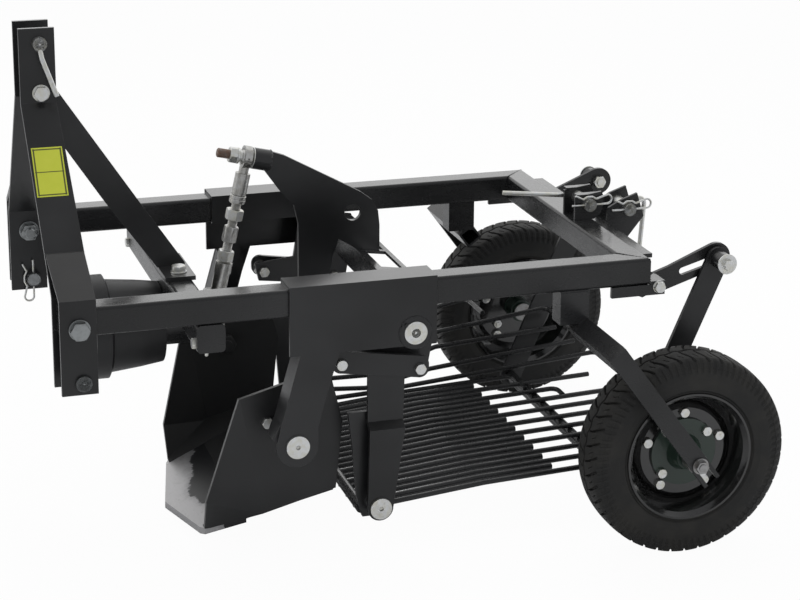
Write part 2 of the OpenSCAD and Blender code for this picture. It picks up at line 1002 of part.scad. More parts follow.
// A nut or washer on the lever's stud between two distances behind the eye.
module stud_ring(s0, s1, dia, sides) {
    difference() {
        on_stud(s0)
            cylinder(h = s1 - s0, d = dia, $fn = sides);
        on_stud(s0 - 1)
            cylinder(h = s1 - s0 + 2, d = stud_d + 2 * bolt_gap);
    }
}

module lever_plate() {
    color("#242628")
        difference() {
            union() {
                side_plate(-lever_t / 2, lever_t / 2) {
                    polygon([
                        [430, 180], [436, 216], [470, 204], [618, 123], [640, 106], [652, 84],
                        [655, 56], [655, web_h(655)], [610, web_h(610)], [600, 18], [574, 34], [562, 0],
                        [556, -40], [532, -62], [508, -60], [496, -44], [496, 70], [488, 106],
                        [465, 131]
                    ]);
                }
                on_stud(boss_s)
                    cylinder(h = boss_len, d = boss_w);
            }
            cross_bar([602, 84], 32, -20, 20);
            side_plate(-lever_t, lever_t)
                polygon([
                    [600, web_h(610) - 30], [700, web_h(700) - 22], [700, web_h(700)],
                    [610, web_h(610)], [600, web_h(610)]
                ]);
        }
}

// Height of the rocker crossbar's top face at a station.
function web_h(s) = 10 - (s - 610) * tan(8);

module rocker_crossbar() {
    t = 6;
    opening = [6, 116];
    color("#2b2d30")
        difference() {
            side_plate(-side_in, side_in)
                polygon([
                    [610, web_h(610)], [676, web_h(676)], [676, web_h(676) - t],
                    [610 + t, web_h(610 + t) - t], [610 + t, -40], [610, -40]
                ]);
            for (side = [-1, 1])
                on_side(side)
                    plan_plate(-20, 20)
                        translate([625, opening[0]])
                            square([41, opening[1] - opening[0]]);
        }
}

module rocker_side(side) {
    color("#2b2d30")
        on_side(side)
            difference() {
                side_plate(side_in, side_out)
                    polygon([
                        [604, web_h(610) + 1], [678, web_h(676)], [678, -60], [662, -146],
                        [484, -124], [476, -88], [556, -80], [566, -20]
                    ]);
                for (p = strap_bolts)
                    cross_bar(p, strap_bolt_d + 2 * bolt_gap, 200, half_w);
            }
}
strap_bolts = [[494, -105], [640, -127]];
strap_bolt_d = 12;

module rocker_sides() {
    for (side = [-1, 1])
        rocker_side(side);
}

module rocker_pivot_pins() {
    color("#b9bcc0")
        for (side = [-1, 1])
            on_side(side)
                cross_bar(pivot, pivot_d, side_out, half_w + skirt_t + 6);
}

module strap(side) {
    end_r = 17;
    rise = 7;
    first = strap_bolts[0];
    last = strap_bolts[1];
    color("#2b2d30")
        on_side(side)
            difference() {
                side_plate(strap_in, strap_in + rocker_t) {
                    polygon([
                        [first[0], first[1] - end_r], [first[0], first[1] + end_r + rise],
                        [last[0], last[1] + end_r + rise], [last[0], last[1] - end_r]
                    ]);
                    for (p = strap_bolts) {
                        translate(p)
                            circle(r = end_r);
                        translate([p[0], p[1] + rise])
                            circle(r = end_r);
                    }
                    translate([first[0] - end_r, first[1]])
                        square([2 * end_r, rise]);
                    translate([last[0] - end_r, last[1]])
                        square([2 * end_r, rise]);
                }
                for (p = strap_bolts)
                    cross_bar(p, strap_bolt_d + 2 * bolt_gap, 200, half_w + 10);
            }
}

module straps() {
    for (side = [-1, 1])
        strap(side);
}

module swing_arm(side) {
    foot_r = 24;
    color("#2b2d30")
        on_side(side)
            difference() {
                intersection() {
                    front_plate(500, 640)
                        mast_band([
                            [strap_in + joggle, -430], [strap_in + joggle, -234], [strap_in, -222],
                            [strap_in, -106]
                        ], rocker_t);
                    side_plate(arm_in - 1, half_w) {
                        polygon([
                            [546, -106], [615, -106], [611, -232], [low_pivot[0] + foot_r, low_pivot[1]],
                            [low_pivot[0] - foot_r, low_pivot[1]], [545, -232]
                        ]);
                        translate(low_pivot)
                            circle(r = foot_r);
                    }
                }
                cross_bar(low_pivot, low_pin_d + 2 * bolt_gap, 200, half_w + 10);
            }
}

module swing_arms() {
    for (side = [-1, 1])
        swing_arm(side);
}

module strap_bolts_only() {
    color("#b9bcc0")
        for (side = [-1, 1])
            for (p = strap_bolts)
                on_side(side) {
                    bolt_y(p, strap_bolt_d, 19, strap_in + rocker_t, side_in - 14);
                    nut_y(p, strap_bolt_d, 19, side_in - 10, side_in);
                }
}

module strap_spacer_set() {
    color("#c2c4c6")
        for (side = [-1, 1])
            for (p = strap_bolts)
                on_side(side)
                    ring_y(p, strap_bolt_d + 2 * bolt_gap, 30, side_out, strap_in);
}

// Short pins at the sieve's front pivots, fixed in the swing arms.
module low_pivot_pins() {
    arm_out = strap_in + joggle;
    inner = sieve_in - 8;
    color("#b9bcc0")
        for (side = [-1, 1])
            on_side(side) {
                cross_bar(low_pivot, low_pin_d, inner - 4, arm_out);
                cross_bar(low_pivot, 40, arm_out, arm_out + 6);
                cross_bar(low_pivot, 36, inner - 4, inner);
                ring_y(low_pivot, low_pin_d + 2 * bolt_gap, 38, sieve_in + rocker_t + 1,
                    arm_out - rocker_t);
            }
}

module sieve_side(side) {
    color("#2b2d30")
        on_side(side)
            difference() {
                side_plate(sieve_in, sieve_in + rocker_t) {
                    polygon([
                        [512, -206], [581, -206], [593, -300], [593, low_pivot[1]],
                        [low_pivot[0], -409], [539, -409], [533, -394], [528, -368], [520, -273]
                    ]);
                    translate(low_pivot)
                        circle(r = 28);
                }
                cross_bar(low_pivot, low_pin_d + 2 * run_gap, 200, half_w);
            }
}

module sieve_sides() {
    for (side = [-1, 1])
        sieve_side(side);
}

front_bar = [539, -395];
front_bar_d = 20;

module sieve_front_tube() {
    color("#2b2d30")
        cross_bar(front_bar, front_bar_d, -sieve_in, sieve_in);
}

seat_gap = 0.2;

// Line of the rods: a steeper front stretch below the front bar, then a nearly level one.
bed = [[front_bar[0], front_bar[1] - front_bar_d / 2 - seat_gap], [786, -387], [1190, -370]];

// One long sieve rod, straight or with its end turned sideways.
module bed_rod(y, end_s, hook) {
    slope = (bed[2][1] - bed[1][1]) / (bed[2][0] - bed[1][0]);
    end_h = bed[1][1] + (end_s - bed[1][0]) * slope;
    front = [bed[0][0], y, bed[0][1] - rod_d / 2];
    middle = [bed[1][0], y, bed[1][1]];
    end = [end_s, y, end_h];
    if (hook > 0)
        bent_bar([front, middle, end, [end_s, y - hook, end_h + 0.01]], rod_d, 16);
    else
        bent_bar([front, middle, end], rod_d, 16);
}

module sieve_floor_rods() {
    color("#35383b")
        for (i = [-5 : 5]) {
            y = i * rod_pitch;
            if (i == 5)
                bed_rod(y, 1025, 1.6 * rod_pitch);
            else
                bed_rod(y, i == 3 ? 1085 : 1190 - abs(i) * 3, i == 3 ? 0.8 * rod_pitch : 0);
        }
}

module sieve_short_rods() {
    short_end = 930;
    slope = (bed[1][1] - bed[0][1]) / (bed[1][0] - bed[0][0]);
    color("#35383b")
        for (i = [-5 : 4]) {
            y = (i + 0.5) * rod_pitch;
            bent_bar([
                [bed[0][0], y, bed[0][1] - short_d / 2],
                [bed[1][0], y, bed[1][1]],
                [short_end, y, bed[1][1] + (short_end - bed[1][0]) * (bed[2][1] - bed[1][1])
                    / (bed[2][0] - bed[1][0])]
            ], short_d, 16);
        }
}

// Guard rods on the right side only, one above another.
module sieve_guard_rods() {
    y = 5 * rod_pitch;
    wall_y = sieve_in - rod_d / 2;
    color("#35383b") {
        bent_bar([
            [566, wall_y, -262], [606, wall_y, -262], [700, y, -244], [856, y, -208],
            [921, y, -195], [921, y - 100, -195]
        ], rod_d, 16);
        bent_bar([
            [566, wall_y, -312], [606, wall_y, -312], [704, y, -302], [853, y, -263],
            [1099, y, -232], [1099, y - 100, -232]
        ], rod_d, 16);
        bent_bar([
            [566, wall_y, -350], [606, wall_y, -350], [704, y, -342], [853, y, -295],
            [1121, y, -277]
        ], rod_d, 16);
        bent_bar([
            [586, wall_y, -372], [606, wall_y, -372], [704, y, -370], [843, y, -342],
            [1163, y, -311]
        ], rod_d, 16);
        bent_bar([
            [586, wall_y, -396], [606, wall_y, -396], [704, y, -382], [800, y, -374],
            [1215, y, -341], [1215, y - 105, -341]
        ], rod_d, 16);
    }
}

rear_bar_d = 24;

module sieve_rear_tube() {
    color("#2b2d30") {
        cross_bar(hanger_low, rear_bar_d, -sieve_in - 26, sieve_in + 26);
    }
}

module hanger_arm(side) {
    w = 45;
    t = 8;
    y0 = hanger_y;
    v = hanger_top - hanger_low;
    run = norm(v);
    color("#2b2d30")
        on_side(side)
            difference() {
                union() {
                    side_plate(y0, y0 + t)
                        translate(hanger_low)
                            rotate(atan2(v[1], v[0]))
                                union() {
                                    translate([0, -w / 2])
                                        square([run, w]);
                                    circle(d = w);
                                    translate([run, 0])
                                        circle(d = w);
                                }
                    cross_bar(hanger_top, 34, y0, y0 + 42);
                }
                cross_bar(hanger_top, stud_m16 + 2 * run_gap, 200, 400);
                cross_bar(hanger_low, rear_bar_d + 2, 200, 400);
            }
}
hanger_y = 293;

module hanger_arms() {
    for (side = [-1, 1])
        hanger_arm(side);
}

module hanger_bolts() {
    head_y = hanger_y + 42 + 0.5;
    color("#c2c4c6")
        for (side = [-1, 1])
            on_side(side) {
                bolt_y(hanger_top, stud_m16, 18, head_y + 3, slot_in - 14);
                ring_y(hanger_top, stud_m16 + 2 * bolt_gap, 38, head_y, head_y + 3);
                nut_y(hanger_top, stud_m16, 24, slot_in - 11, slot_in);
            }
}
slot_in = 282;
slot_t = 8;

module slotted_plate(side) {
    end_r = 28;
    v = hanger_top - tab_bolt;
    tilt = atan2(v[1], v[0]) + 3;
    color("#2b2d30")
        on_side(side)
            difference() {
                side_plate(slot_in, slot_in + slot_t) {
                    polygon([
                        [1071, 22], [1096, 6], [1126, 16], [1209, 51], [1234, 0],
                        [1204, -2], [1122, -28], [1071, -19]
                    ]);
                    translate(hanger_top)
                        circle(r = end_r);
                }
                side_plate(slot_in - 1, slot_in + slot_t + 1)
                    translate([1155, 5])
                        rotate(tilt) {
                            translate([0, -7])
                                square([48, 14]);
                            circle(r = 7);
                            translate([48, 0])
                                circle(r = 7);
                        }
                cross_bar(hanger_top, stud_m16 + 2 * bolt_gap, 200, 400);
                cross_bar(tab_bolt, stud_m12 + 2 * bolt_gap, 200, 400);
            }
}
tab_bolt = [1087, -5];

module slotted_plates() {
    for (side = [-1, 1])
        slotted_plate(side);
}

// Tab under the rail's end that the slotted plate is bolted to.
module rear_tab(side) {
    color("#2b2d30")
        on_side(side)
            difference() {
                union() {
                    side_plate(half_w - 8, half_w)
                        polygon([
                            [995, 0], [1071, 0], [1071, 6], [1099, 6], [1099, -20], [1062, -20], [1055, -23],
                            [1048, -20], [995, -20]
                        ]);
                    side_plate(slot_in + slot_t, half_w - 8)
                        polygon([[1076, 6], [1099, 6], [1099, -18], [1076, -18]]);
                }
                cross_bar(tab_bolt, stud_m12 + 2 * bolt_gap, 200, 400);
            }
}

module rear_tabs() {
    for (side = [-1, 1])
        rear_tab(side);
}

module tab_bolt_pair() {
    color("#c2c4c6")
        for (side = [-1, 1])
            on_side(side) {
                bolt_y(tab_bolt, stud_m12, 19, half_w + 2, slot_in - 14);
                ring_y(tab_bolt, stud_m12 + 2 * bolt_gap, 24, half_w, half_w + 2);
                nut_y(tab_bolt, stud_m12, 19, slot_in - 10, slot_in);
            }
}

module tie_strip() {
    color("#26282a")
        plan_plate(34, 42)
            translate([rail_len, -slot_in])
                square([26, 2 * slot_in]);
}

lug_y = -60;
lug_gap = 50;
lug_t = 6;
lug_pin_d = 25;
parked = [[1057, 81], [1140, 66]];

module lug_plates() {
    color("#26282a")
        difference() {
            union() {
                for (y = [lug_y, lug_y + lug_gap + lug_t]) {
                    side_plate(y - lug_t / 2, y + lug_t / 2)
                        polygon([
                            [1030, tube_w], [1030, 96], [1084, 104], [1090, 92], [1084, 62],
                            [1070, tube_w]
                        ]);
                    side_plate(y - lug_t / 2, y + lug_t / 2)
                        polygon([
                            [1096, 34], [1100, 70], [1127, 84], [1159, 95], [1174, 48],
                            [1140, 6], [1096, 6]
                        ]);
                    plan_plate(96, 100)
                        translate([1034, y - lug_t / 2])
                            square([44, 16]);
                }
            }
            for (p = parked)
                cross_bar(p, lug_pin_d + 2 * bolt_gap, -200, 200);
        }
}

module parked_pins() {
    far_y = lug_y + lug_gap + lug_t;
    color("#c2c4c6") {
        for (p = parked)
            difference() {
                cross_bar(p, lug_pin_d, lug_y - 18, far_y + 16);
                at([p[0] - 30, lug_y - 10.5, p[1]])
                    rotate([0, 90, 0])
                        cylinder(h = 60, d = clip_wire * 1.6);
            }
        bent_bar([
            [parked[0][0] - 9, far_y + 11, parked[0][1]], [parked[0][0] - 24, far_y + 11, 82],
            [parked[0][0] - 150, far_y + 11, 96]
        ], 9, 12);
        bent_bar([
            [parked[1][0] + 9, far_y + 11, parked[1][1]], [parked[1][0] + 66, far_y + 11, 64],
            [parked[1][0] + 58, far_y + 11, -46]
        ], 9, 12);
    }
}

module parked_clip_pair() {
    color("#d4d6d8")
        for (p = parked)
            at([p[0], lug_y - 10.5, p[1]])
                rotate([0, -90, 0])
                    rotate([0, 0, -90])
                        spring_clip(lug_pin_d, clip_wire);
}

// Wheel carrier: post below the rail, tube outward above the tyre, fork bar down to the axle.
module wheel_carrier(side) {
    bar_in = wheel_y + bar_reach;
    bar_t = 10;
    bar_w = 35;
    stub_w = 36;
    top = [944, -76];
    v = axle - top;
    run = norm(v);
    post = [40, 55];
    color("#2b2d30")
        on_side(side)
            difference() {
                union() {
                    plan_plate(-62, 0)
                        translate([896, half_w - post[0]])
                            square([post[1], post[0]]);
                    side_plate(half_w - 38, bar_in)
                        translate(top)
                            rotate(atan2(v[1], v[0]))
                                difference() {
                                    square(stub_w, center = true);
                                    square(stub_w - 8, center = true);
                                }
                    side_plate(bar_in, bar_in + bar_t)
                        translate(top)
                            rotate(atan2(v[1], v[0]))
                                difference() {
                                    translate([-stub_w / 2, -bar_w / 2])
                                        square([run + stub_w / 2 + 42, bar_w]);
                                    translate([run, -10])
                                        square([60, 20]);
                                    translate([run, 0])
                                        circle(d = 20);
                                }
                }
                plan_plate(-58, 4)
                    translate([900, half_w - post[0] + 4])
                        square([post[1] - 8, post[0] - 8]);
            }
}

module wheel_carriers() {
    for (side = [-1, 1])
        wheel_carrier(side);
}

axle_d = 25;
bar_reach = 75;

module axles() {
    bar_in = wheel_y + bar_reach;
    color("#8d8f91")
        for (side = [-1, 1])
            on_side(side) {
                cross_bar(axle, axle_d, wheel_y - 38, bar_in);
                cross_bar(axle, 38, wheel_y + 46, bar_in);
                cross_bar(axle, 38, wheel_y - 42, wheel_y - 38);
                cross_bar(axle, 14, bar_in, bar_in + 24);
                ring_y(axle, 14 + 2 * bolt_gap, 30, bar_in + 10, bar_in + 13);
                nut_y(axle, 14, 21, bar_in + 13, bar_in + 22);
            }
}

// Section of a wheel part turned about the axle: radius by distance from the wheel's middle.
module turned(side) {
    at([axle[0], side * wheel_y, axle[1]])
        rotate([side > 0 ? -90 : 90, 0, 0])
            rotate_extrude($fn = 96)
                children();
}

module tyre(side) {
    r = tyre_d / 2;
    w = tyre_w / 2;
    bead_r = rim_d / 2 - 7;
    color("#17181a")
        difference() {
            turned(side)
                polygon([
                    [bead_r, -w + 13.2], [bead_r + 9, -w + 5.9], [bead_r + 26, -w], [r - 22, -w + 1],
                    [r - 8, -w + 7], [r - 2, -w + 18], [r, -w + 34], [r, w - 34], [r - 2, w - 18],
                    [r - 8, w - 7], [r - 22, w - 1], [bead_r + 26, w], [bead_r + 9, w - 5.9],
                    [bead_r, w - 13.2], [bead_r, w - 18], [bead_r + 20, w - 14],
                    [r - 24, w - 12], [r - 14, w - 24], [r - 14, -w + 24], [r - 24, -w + 12],
                    [bead_r + 20, -w + 14], [bead_r, -w + 18]
                ]);
            for (i = [0 : tread_count - 1])
                for (half = [-1, 1])
                    at([axle[0], side * wheel_y, axle[1]])
                        rotate([0, (i + (half + 1) / 4) * 360 / tread_count, 0])
                            translate([-3, half > 0 ? 12 : -w - 12, r - 7])
                                cube([6, w, 20]);
            for (groove = [-12, 0, 12])
                turned(side)
                    translate([r - 5, groove - 1.5])
                        square([10, 3]);
        }
}

module left_tyre() {
    tyre(-1);
}

module right_tyre() {
    tyre(1);
}

module rim(side) {
    r = rim_d / 2;
    seat_r = r - 7.2;
    w = tyre_w / 2 - 12;
    hub_r = 26;
    disc_at = 8;
    color("#2b2d30")
        difference() {
            turned(side)
                polygon([
                    [seat_r, -w + 1], [r, -w - 6], [r, -w - 9], [r - 4, -w - 9], [seat_r - 4, -w],
                    [seat_r - 18, -8], [hub_plate_r, disc_at - 4], [hub_r, disc_at - 4],
                    [hub_r, disc_at], [hub_plate_r - 2, disc_at], [seat_r - 18, -4],
                    [seat_r - 18, 4], [seat_r - 4, w], [r - 4, w + 9], [r, w + 9], [r, w + 6],
                    [seat_r, w - 1], [seat_r - 12, 5], [seat_r - 12, -5]
                ]);
            wheel_holes(side, outer_bolt_r, 5, 0, stud_m10);
            wheel_holes(side, inner_bolt_r, 4, 50, stud_m10);
        }
}
hub_plate_r = 84;
outer_bolt_r = 74;
inner_bolt_r = 56;

// Ring of bolt holes round the axle.
module wheel_holes(side, r, count, first, d) {
    for (i = [0 : count - 1])
        at([axle[0], side * wheel_y, axle[1]])
            rotate([0, first + i * 360 / count, 0])
                translate([0, 0, r])
                    rotate([90, 0, 0])
                        cylinder(h = 80, d = d + 2 * bolt_gap, center = true);
}

module left_rim() {
    rim(-1);
}

module right_rim() {
    rim(1);
}

module wheel_hub(side) {
    color("#4a6b58")
        difference() {
            turned(side)
                polygon([
                    [axle_d / 2 + run_gap, -34], [24, -34], [24, 2], [26, 2], [26, 8], [63, 8],
                    [63, 14], [34, 14], [30, 26], [24, 40], [axle_d / 2 + run_gap, 40]
                ]);
            wheel_holes(side, inner_bolt_r, 4, 50, stud_m10);
        }
}

module left_wheel_hub() {
    wheel_hub(-1);
}

module right_wheel_hub() {
    wheel_hub(1);
}

module wheel_bolts(side) {
    color("#c2c4c6") {
        wheel_bolt_ring(side, outer_bolt_r, 5, 0, 8);
        wheel_bolt_ring(side, inner_bolt_r, 4, 50, 14);
    }
}

// Ring of bolts with heads outward and nuts behind the wheel's disc.
module wheel_bolt_ring(side, r, count, first, face) {
    for (i = [0 : count - 1])
        at([axle[0], side * wheel_y, axle[1]])
            rotate([0, first + i * 360 / count, 0])
                translate([0, 0, r])
                    rotate([side > 0 ? -90 : 90, 0, 0]) {
                        translate([0, 0, face])
                            cylinder(h = 7, d = 17 / cos(30), $fn = 6);
                        translate([0, 0, -6])
                            cylinder(h = face + 6, d = stud_m10);
                        difference() {
                            translate([0, 0, -4])
                                cylinder(h = 8, d = 17 / cos(30), $fn = 6);
                            translate([0, 0, -5])
                                cylinder(h = 10, d = stud_m10 + 2 * bolt_gap);
                        }
                    }
}

module left_wheel_bolts() {
    wheel_bolts(-1);
}

module right_wheel_bolts() {
    wheel_bolts(1);
}

module spring_clips() {
    lower_clip_pair();
    parked_clip_pair();
}

module lever_stud() {
    stud_bar();
    stud_nuts();
}

module spacer_tubes() {
    mast_spacer_pair();
    share_bush_pair();
}

module mast_bolts() {
    mast_cross_bolt();
    foot_bolts();
}

module frame_bolts() {
    end_fittings();
    tab_bolt_pair();
}

module strap_bolt_set() {
    strap_bolts_only();
    strap_spacer_set();
}

module share_trough() {
    trough_floor();
    share_cheeks();
}

module rear_lugs() {
    tie_strip();
    lug_plates();
}

module top_link_pin() {
    top_pin_bar();
    top_clip();
}

module sieve_cross_bars() {
    sieve_front_tube();
    sieve_rear_tube();
}

left_rail();
right_rail();
rear_crossmember();
front_crossmember();
left_mast_leg();
right_mast_leg();
hitch_plates();
hitch_bolts();
lower_link_pins();
spring_clips();
mast_bolts();
spacer_tubes();
mast_brace();
frame_bolts();
sticker();
top_link_pin();
side_brackets();
share_pivot_pins();
share_blade();
share_trough();
share_bolts();
drive_housing();
pto_shield();
drive_shaft();
rod_eye();
rod_ball();
turnbuckle();
rod_nuts();
rod_lower_end();
lever_stud();
lever_plate();
rocker_crossbar();
rocker_sides();
rocker_pivot_pins();
straps();
swing_arms();
strap_bolt_set();
low_pivot_pins();
sieve_sides();
sieve_cross_bars();
sieve_floor_rods();
sieve_short_rods();
sieve_guard_rods();
hanger_arms();
hanger_bolts();
slotted_plates();
rear_tabs();
rear_lugs();
parked_pins();
wheel_carriers();
axles();
left_tyre();
right_tyre();
left_rim();
right_rim();
left_wheel_hub();
right_wheel_hub();
left_wheel_bolts();
right_wheel_bolts();
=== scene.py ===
# %% [markdown]
# # A small vibrating potato digger
#
# This lesson dresses an exact CAD model of a tractor-mounted potato digger. The frame, the share
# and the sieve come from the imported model. We add what a plain solid can't show: worn and dusty
# paint, moulded rubber, bent wire, cut threads and weld beads.

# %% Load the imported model
import math
import random

import bmesh
import bpy
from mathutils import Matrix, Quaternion, Vector


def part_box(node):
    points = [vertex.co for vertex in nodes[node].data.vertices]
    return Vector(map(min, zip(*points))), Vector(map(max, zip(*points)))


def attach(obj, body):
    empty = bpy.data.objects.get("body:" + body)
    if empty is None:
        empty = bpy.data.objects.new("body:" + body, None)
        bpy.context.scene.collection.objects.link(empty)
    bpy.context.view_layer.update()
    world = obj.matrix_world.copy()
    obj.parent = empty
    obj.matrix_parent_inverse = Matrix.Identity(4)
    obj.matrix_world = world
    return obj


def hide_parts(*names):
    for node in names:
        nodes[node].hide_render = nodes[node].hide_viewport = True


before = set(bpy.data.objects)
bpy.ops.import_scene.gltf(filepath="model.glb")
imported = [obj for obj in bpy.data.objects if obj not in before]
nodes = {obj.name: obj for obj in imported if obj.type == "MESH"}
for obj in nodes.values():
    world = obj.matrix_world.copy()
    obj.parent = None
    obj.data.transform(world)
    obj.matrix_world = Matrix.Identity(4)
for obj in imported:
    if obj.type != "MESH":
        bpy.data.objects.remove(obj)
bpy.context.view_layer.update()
print("CAD nodes:", len(nodes))

# %% [markdown]
# ## Places on the machine
#
# The CAD source counts stations in millimetres behind the front end of the rails, and heights from
# the rails' underside. One function turns such a place into metres in the model's own frame, so the
# numbers below can be read beside those of the source. The frame's x runs back along the machine,
# y across to its right side and z up.

# %% From places on the machine to metres
FRONT_S = -635
RAIL_H = 475
BACK = Vector((1, 0, 0))
ACROSS = Vector((0, 1, 0))
UP = Vector((0, 0, 1))
SIDES = ((-1, "left"), (1, "right"))
LOWER_LINK = (33, -79)


def place(s, y, h):
    """A place given as station, side and height, in metres."""
    return Vector((FRONT_S + s, y, RAIL_H + h)) / 1000


print("lower link pin at", place(LOWER_LINK[0], -300, LOWER_LINK[1]))

# %% [markdown]
# ## Shader sums in plain Python
#
# A material is easier to read as a formula than as a web of nodes. The class below wraps one output
# socket. Adding or multiplying two of them makes the Math node, and the reflected forms let us
# write 1 - mask. A second class holds the material, or the world, and adds any other node.

# %% A socket that can be used in a sum
class Wire:
    """One output of a node, which Python's operators can use."""

    def __init__(self, coat, socket):
        self.coat = coat
        self.socket = socket

    def maths(self, operation, a, b, clamp=False):
        made = self.coat.node("ShaderNodeMath", {"operation": operation, "use_clamp": clamp},
                              {0: a, 1: b})
        return self.coat.wire(made)

    def __add__(self, other):
        return self.maths("ADD", self, other)

    __radd__ = __add__

    def __mul__(self, other):
        return self.maths("MULTIPLY", self, other)

    __rmul__ = __mul__

    def __sub__(self, other):
        return self.maths("SUBTRACT", self, other)

    def __rsub__(self, other):
        return self.maths("SUBTRACT", other, self)

    def __truediv__(self, other):
        return self.maths("DIVIDE", self, other)

    def clipped(self):
        """The same value kept from 0 to 1."""
        return self.maths("ADD", self, 0, clamp=True)

    def ramp(self, low, high):
        """0 below low, 1 above high, and a soft step between."""
        made = self.coat.node("ShaderNodeMapRange", {"interpolation_type": "SMOOTHSTEP"},
                              {"Value": self, "From Min": low, "From Max": high})
        return self.coat.wire(made)

    def size(self):
        return self.maths("ABSOLUTE", self, 0)

    def wave(self):
        return self.maths("SINE", self, 0)

    def most(self, other):
        return self.maths("MAXIMUM", self, other)


# %% A material that adds its own nodes
class Coat:
    """A material, or the world, under construction."""

    def __init__(self, name, world=False):
        self.owner = (bpy.data.worlds if world else bpy.data.materials).new(name)
        self.owner.use_nodes = True
        self.tree = self.owner.node_tree
        self.tree.nodes.clear()

    def node(self, kind, settings=None, inputs=None):
        """Adds a node, makes its settings, then fills its sockets with values or links."""
        made = self.tree.nodes.new(kind)
        for key, value in (settings or {}).items():
            setattr(made, key, value)
        for key, value in (inputs or {}).items():
            if isinstance(value, Wire):
                self.tree.links.new(value.socket, made.inputs[key])
            else:
                made.inputs[key].default_value = value
        return made

    def wire(self, made, output=0):
        return Wire(self, made.outputs[output])

    def spot(self):
        """The place on the piece, in metres."""
        return self.wire(self.node("ShaderNodeTexCoord"), "Object")

    def axes(self):
        """The place's three numbers."""
        parts = self.node("ShaderNodeSeparateXYZ", None, {0: self.spot()})
        return [self.wire(parts, i) for i in range(3)]

    def noise(self, grains, detail=3.0, rough=0.55, stretch=(1, 1, 1)):
        """Noise from 0 to 1 with so many grains in a metre."""
        where = self.node("ShaderNodeMapping", None, {"Vector": self.spot(), "Scale": stretch})
        made = self.node("ShaderNodeTexNoise", None, {
            "Vector": self.wire(where), "Scale": grains, "Detail": detail, "Roughness": rough})
        return self.wire(made)

    def mix(self, share, a, b):
        """Colour a where share is 0 and colour b where it is 1."""
        made = self.node("ShaderNodeMix", {"data_type": "RGBA"}, {
            0: share, 6: self.shade(a), 7: self.shade(b)})
        return self.wire(made, 2)

    @staticmethod
    def shade(colour):
        return colour if isinstance(colour, Wire) else (*colour, 1)

    def edge_normal(self, radius):
        """The surface's direction with every sharp edge shown slightly rounded."""
        return self.wire(self.node("ShaderNodeBevel", {"samples": 4}, {"Radius": radius}))

    def edges(self, radius):
        """1 on sharp edges and 0 elsewhere."""
        true = self.wire(self.node("ShaderNodeNewGeometry"), "True Normal")
        met = self.node("ShaderNodeVectorMath", {"operation": "DOT_PRODUCT"}, {
            0: self.edge_normal(radius), 1: true})
        return (1 - self.wire(met, "Value")).ramp(0.002, 0.12)

    def upward(self, low=0.4, high=0.95):
        """1 on faces that look up and 0 on upright ones."""
        facing = self.wire(self.node("ShaderNodeNewGeometry"), "Normal")
        up = self.node("ShaderNodeSeparateXYZ", None, {0: facing})
        return self.wire(up, 2).ramp(low, high)

    def inward(self):
        """1 on faces that look towards the machine's middle plane, as a trough's inner walls do."""
        facing = self.wire(self.node("ShaderNodeNewGeometry"), "True Normal")
        parts = self.node("ShaderNodeSeparateXYZ", None, {0: facing})
        return (self.wire(parts, 1) * self.axes()[1] * -1).ramp(0.02, 0.05)

    def bump(self, height, depth, normal=None, strength=1.0):
        """Relief of that depth in metres over an optional smoother normal."""
        inputs = {"Height": height, "Distance": depth, "Strength": strength}
        if normal is not None:
            inputs["Normal"] = normal
        return self.wire(self.node("ShaderNodeBump", None, inputs))

    def finish(self, inputs):
        """Closes the material with one principled shader."""
        shader = self.node("ShaderNodeBsdfPrincipled", None, inputs)
        self.node("ShaderNodeOutputMaterial", None, {0: self.wire(shader)})
        return self.owner


# %% [markdown]
# ## Powder paint
#
# The frame is blasted steel under black powder paint. Close up such paint isn't flat: it has a fine
# orange peel, it thins and shines along edges, and studio dust settles on the faces that look up.
# We build one recipe with a few dials, because rails, plates and arms differ only a little. A last
# dial paints shade on the trough's inner walls: it darkens the faces that look towards the
# machine's middle and makes them rougher.

# %% Black powder paint
def powder_paint(name, colour, gloss, dust=0.5, peel=0.00008, inner_shade=False):
    coat = Coat(name)
    broad = coat.noise(5, 2)
    fine = coat.noise(700, 2)
    smear = coat.noise(24, 5, 0.62, (1, 1, 2.5))
    specks = coat.noise(420, 2, 0.8).ramp(0.70, 0.78)
    worn = coat.edges(0.0011) * coat.noise(60, 4).ramp(0.42, 0.62)
    pale = tuple(c * 1.9 + 0.006 for c in colour)
    tone = coat.mix(broad.ramp(0.3, 0.7), colour, pale)
    film = (coat.upward() * smear * dust * 0.10 + specks * 0.05 * dust).clipped()
    tone = coat.mix(film, tone, (0.20, 0.19, 0.175))
    tone = coat.mix(worn * 0.55, tone, (0.13, 0.13, 0.135))
    rough = gloss + (smear - 0.5) * 0.14 + specks * 0.1
    # Painted shade: the faces that look towards the middle are darkened, as the shade inside the
    # trough.
    if inner_shade:
        inside = coat.inward()
        tone = coat.mix(inside * 0.8, tone, (0.0012, 0.0012, 0.0013))
        rough = rough + inside * 0.25
    return coat.finish({
        "Base Color": tone, "Roughness": rough.clipped(),
        "Normal": coat.bump(fine + smear * 2, peel, coat.edge_normal(0.0011)),
        "Coat Weight": coat.upward(0.94, 0.99) * 0.9, "Coat Roughness": 0.16})


frame_paint = powder_paint("frame_black", (0.0062, 0.0064, 0.0068), 0.27)
plate_paint = powder_paint("plate_black", (0.0066, 0.0068, 0.0073), 0.31)
# The trough's paint carries painted shade on its inner walls.
trough_paint_shaded = powder_paint("trough_black_inner_shade", (0.0060, 0.0062, 0.0066), 0.33, inner_shade=True)
rod_paint = powder_paint("rod_black", (0.0046, 0.0048, 0.0052), 0.27, 0.3)
print("paints:", frame_paint.name, plate_paint.name, trough_paint_shaded.name, rod_paint.name)

# %% [markdown]
# ## Zinc and turned steel
#
# Bolts, pins and clips are zinc plated: a bright metal with a slight cloud of blue and straw where
# the plating differs, and fine scuffs from the spanner. The rod, the axles and the drive shaft are
# plain turned steel, greyer and more soiled. All come from one recipe, with scuffs and grime as
# dials.

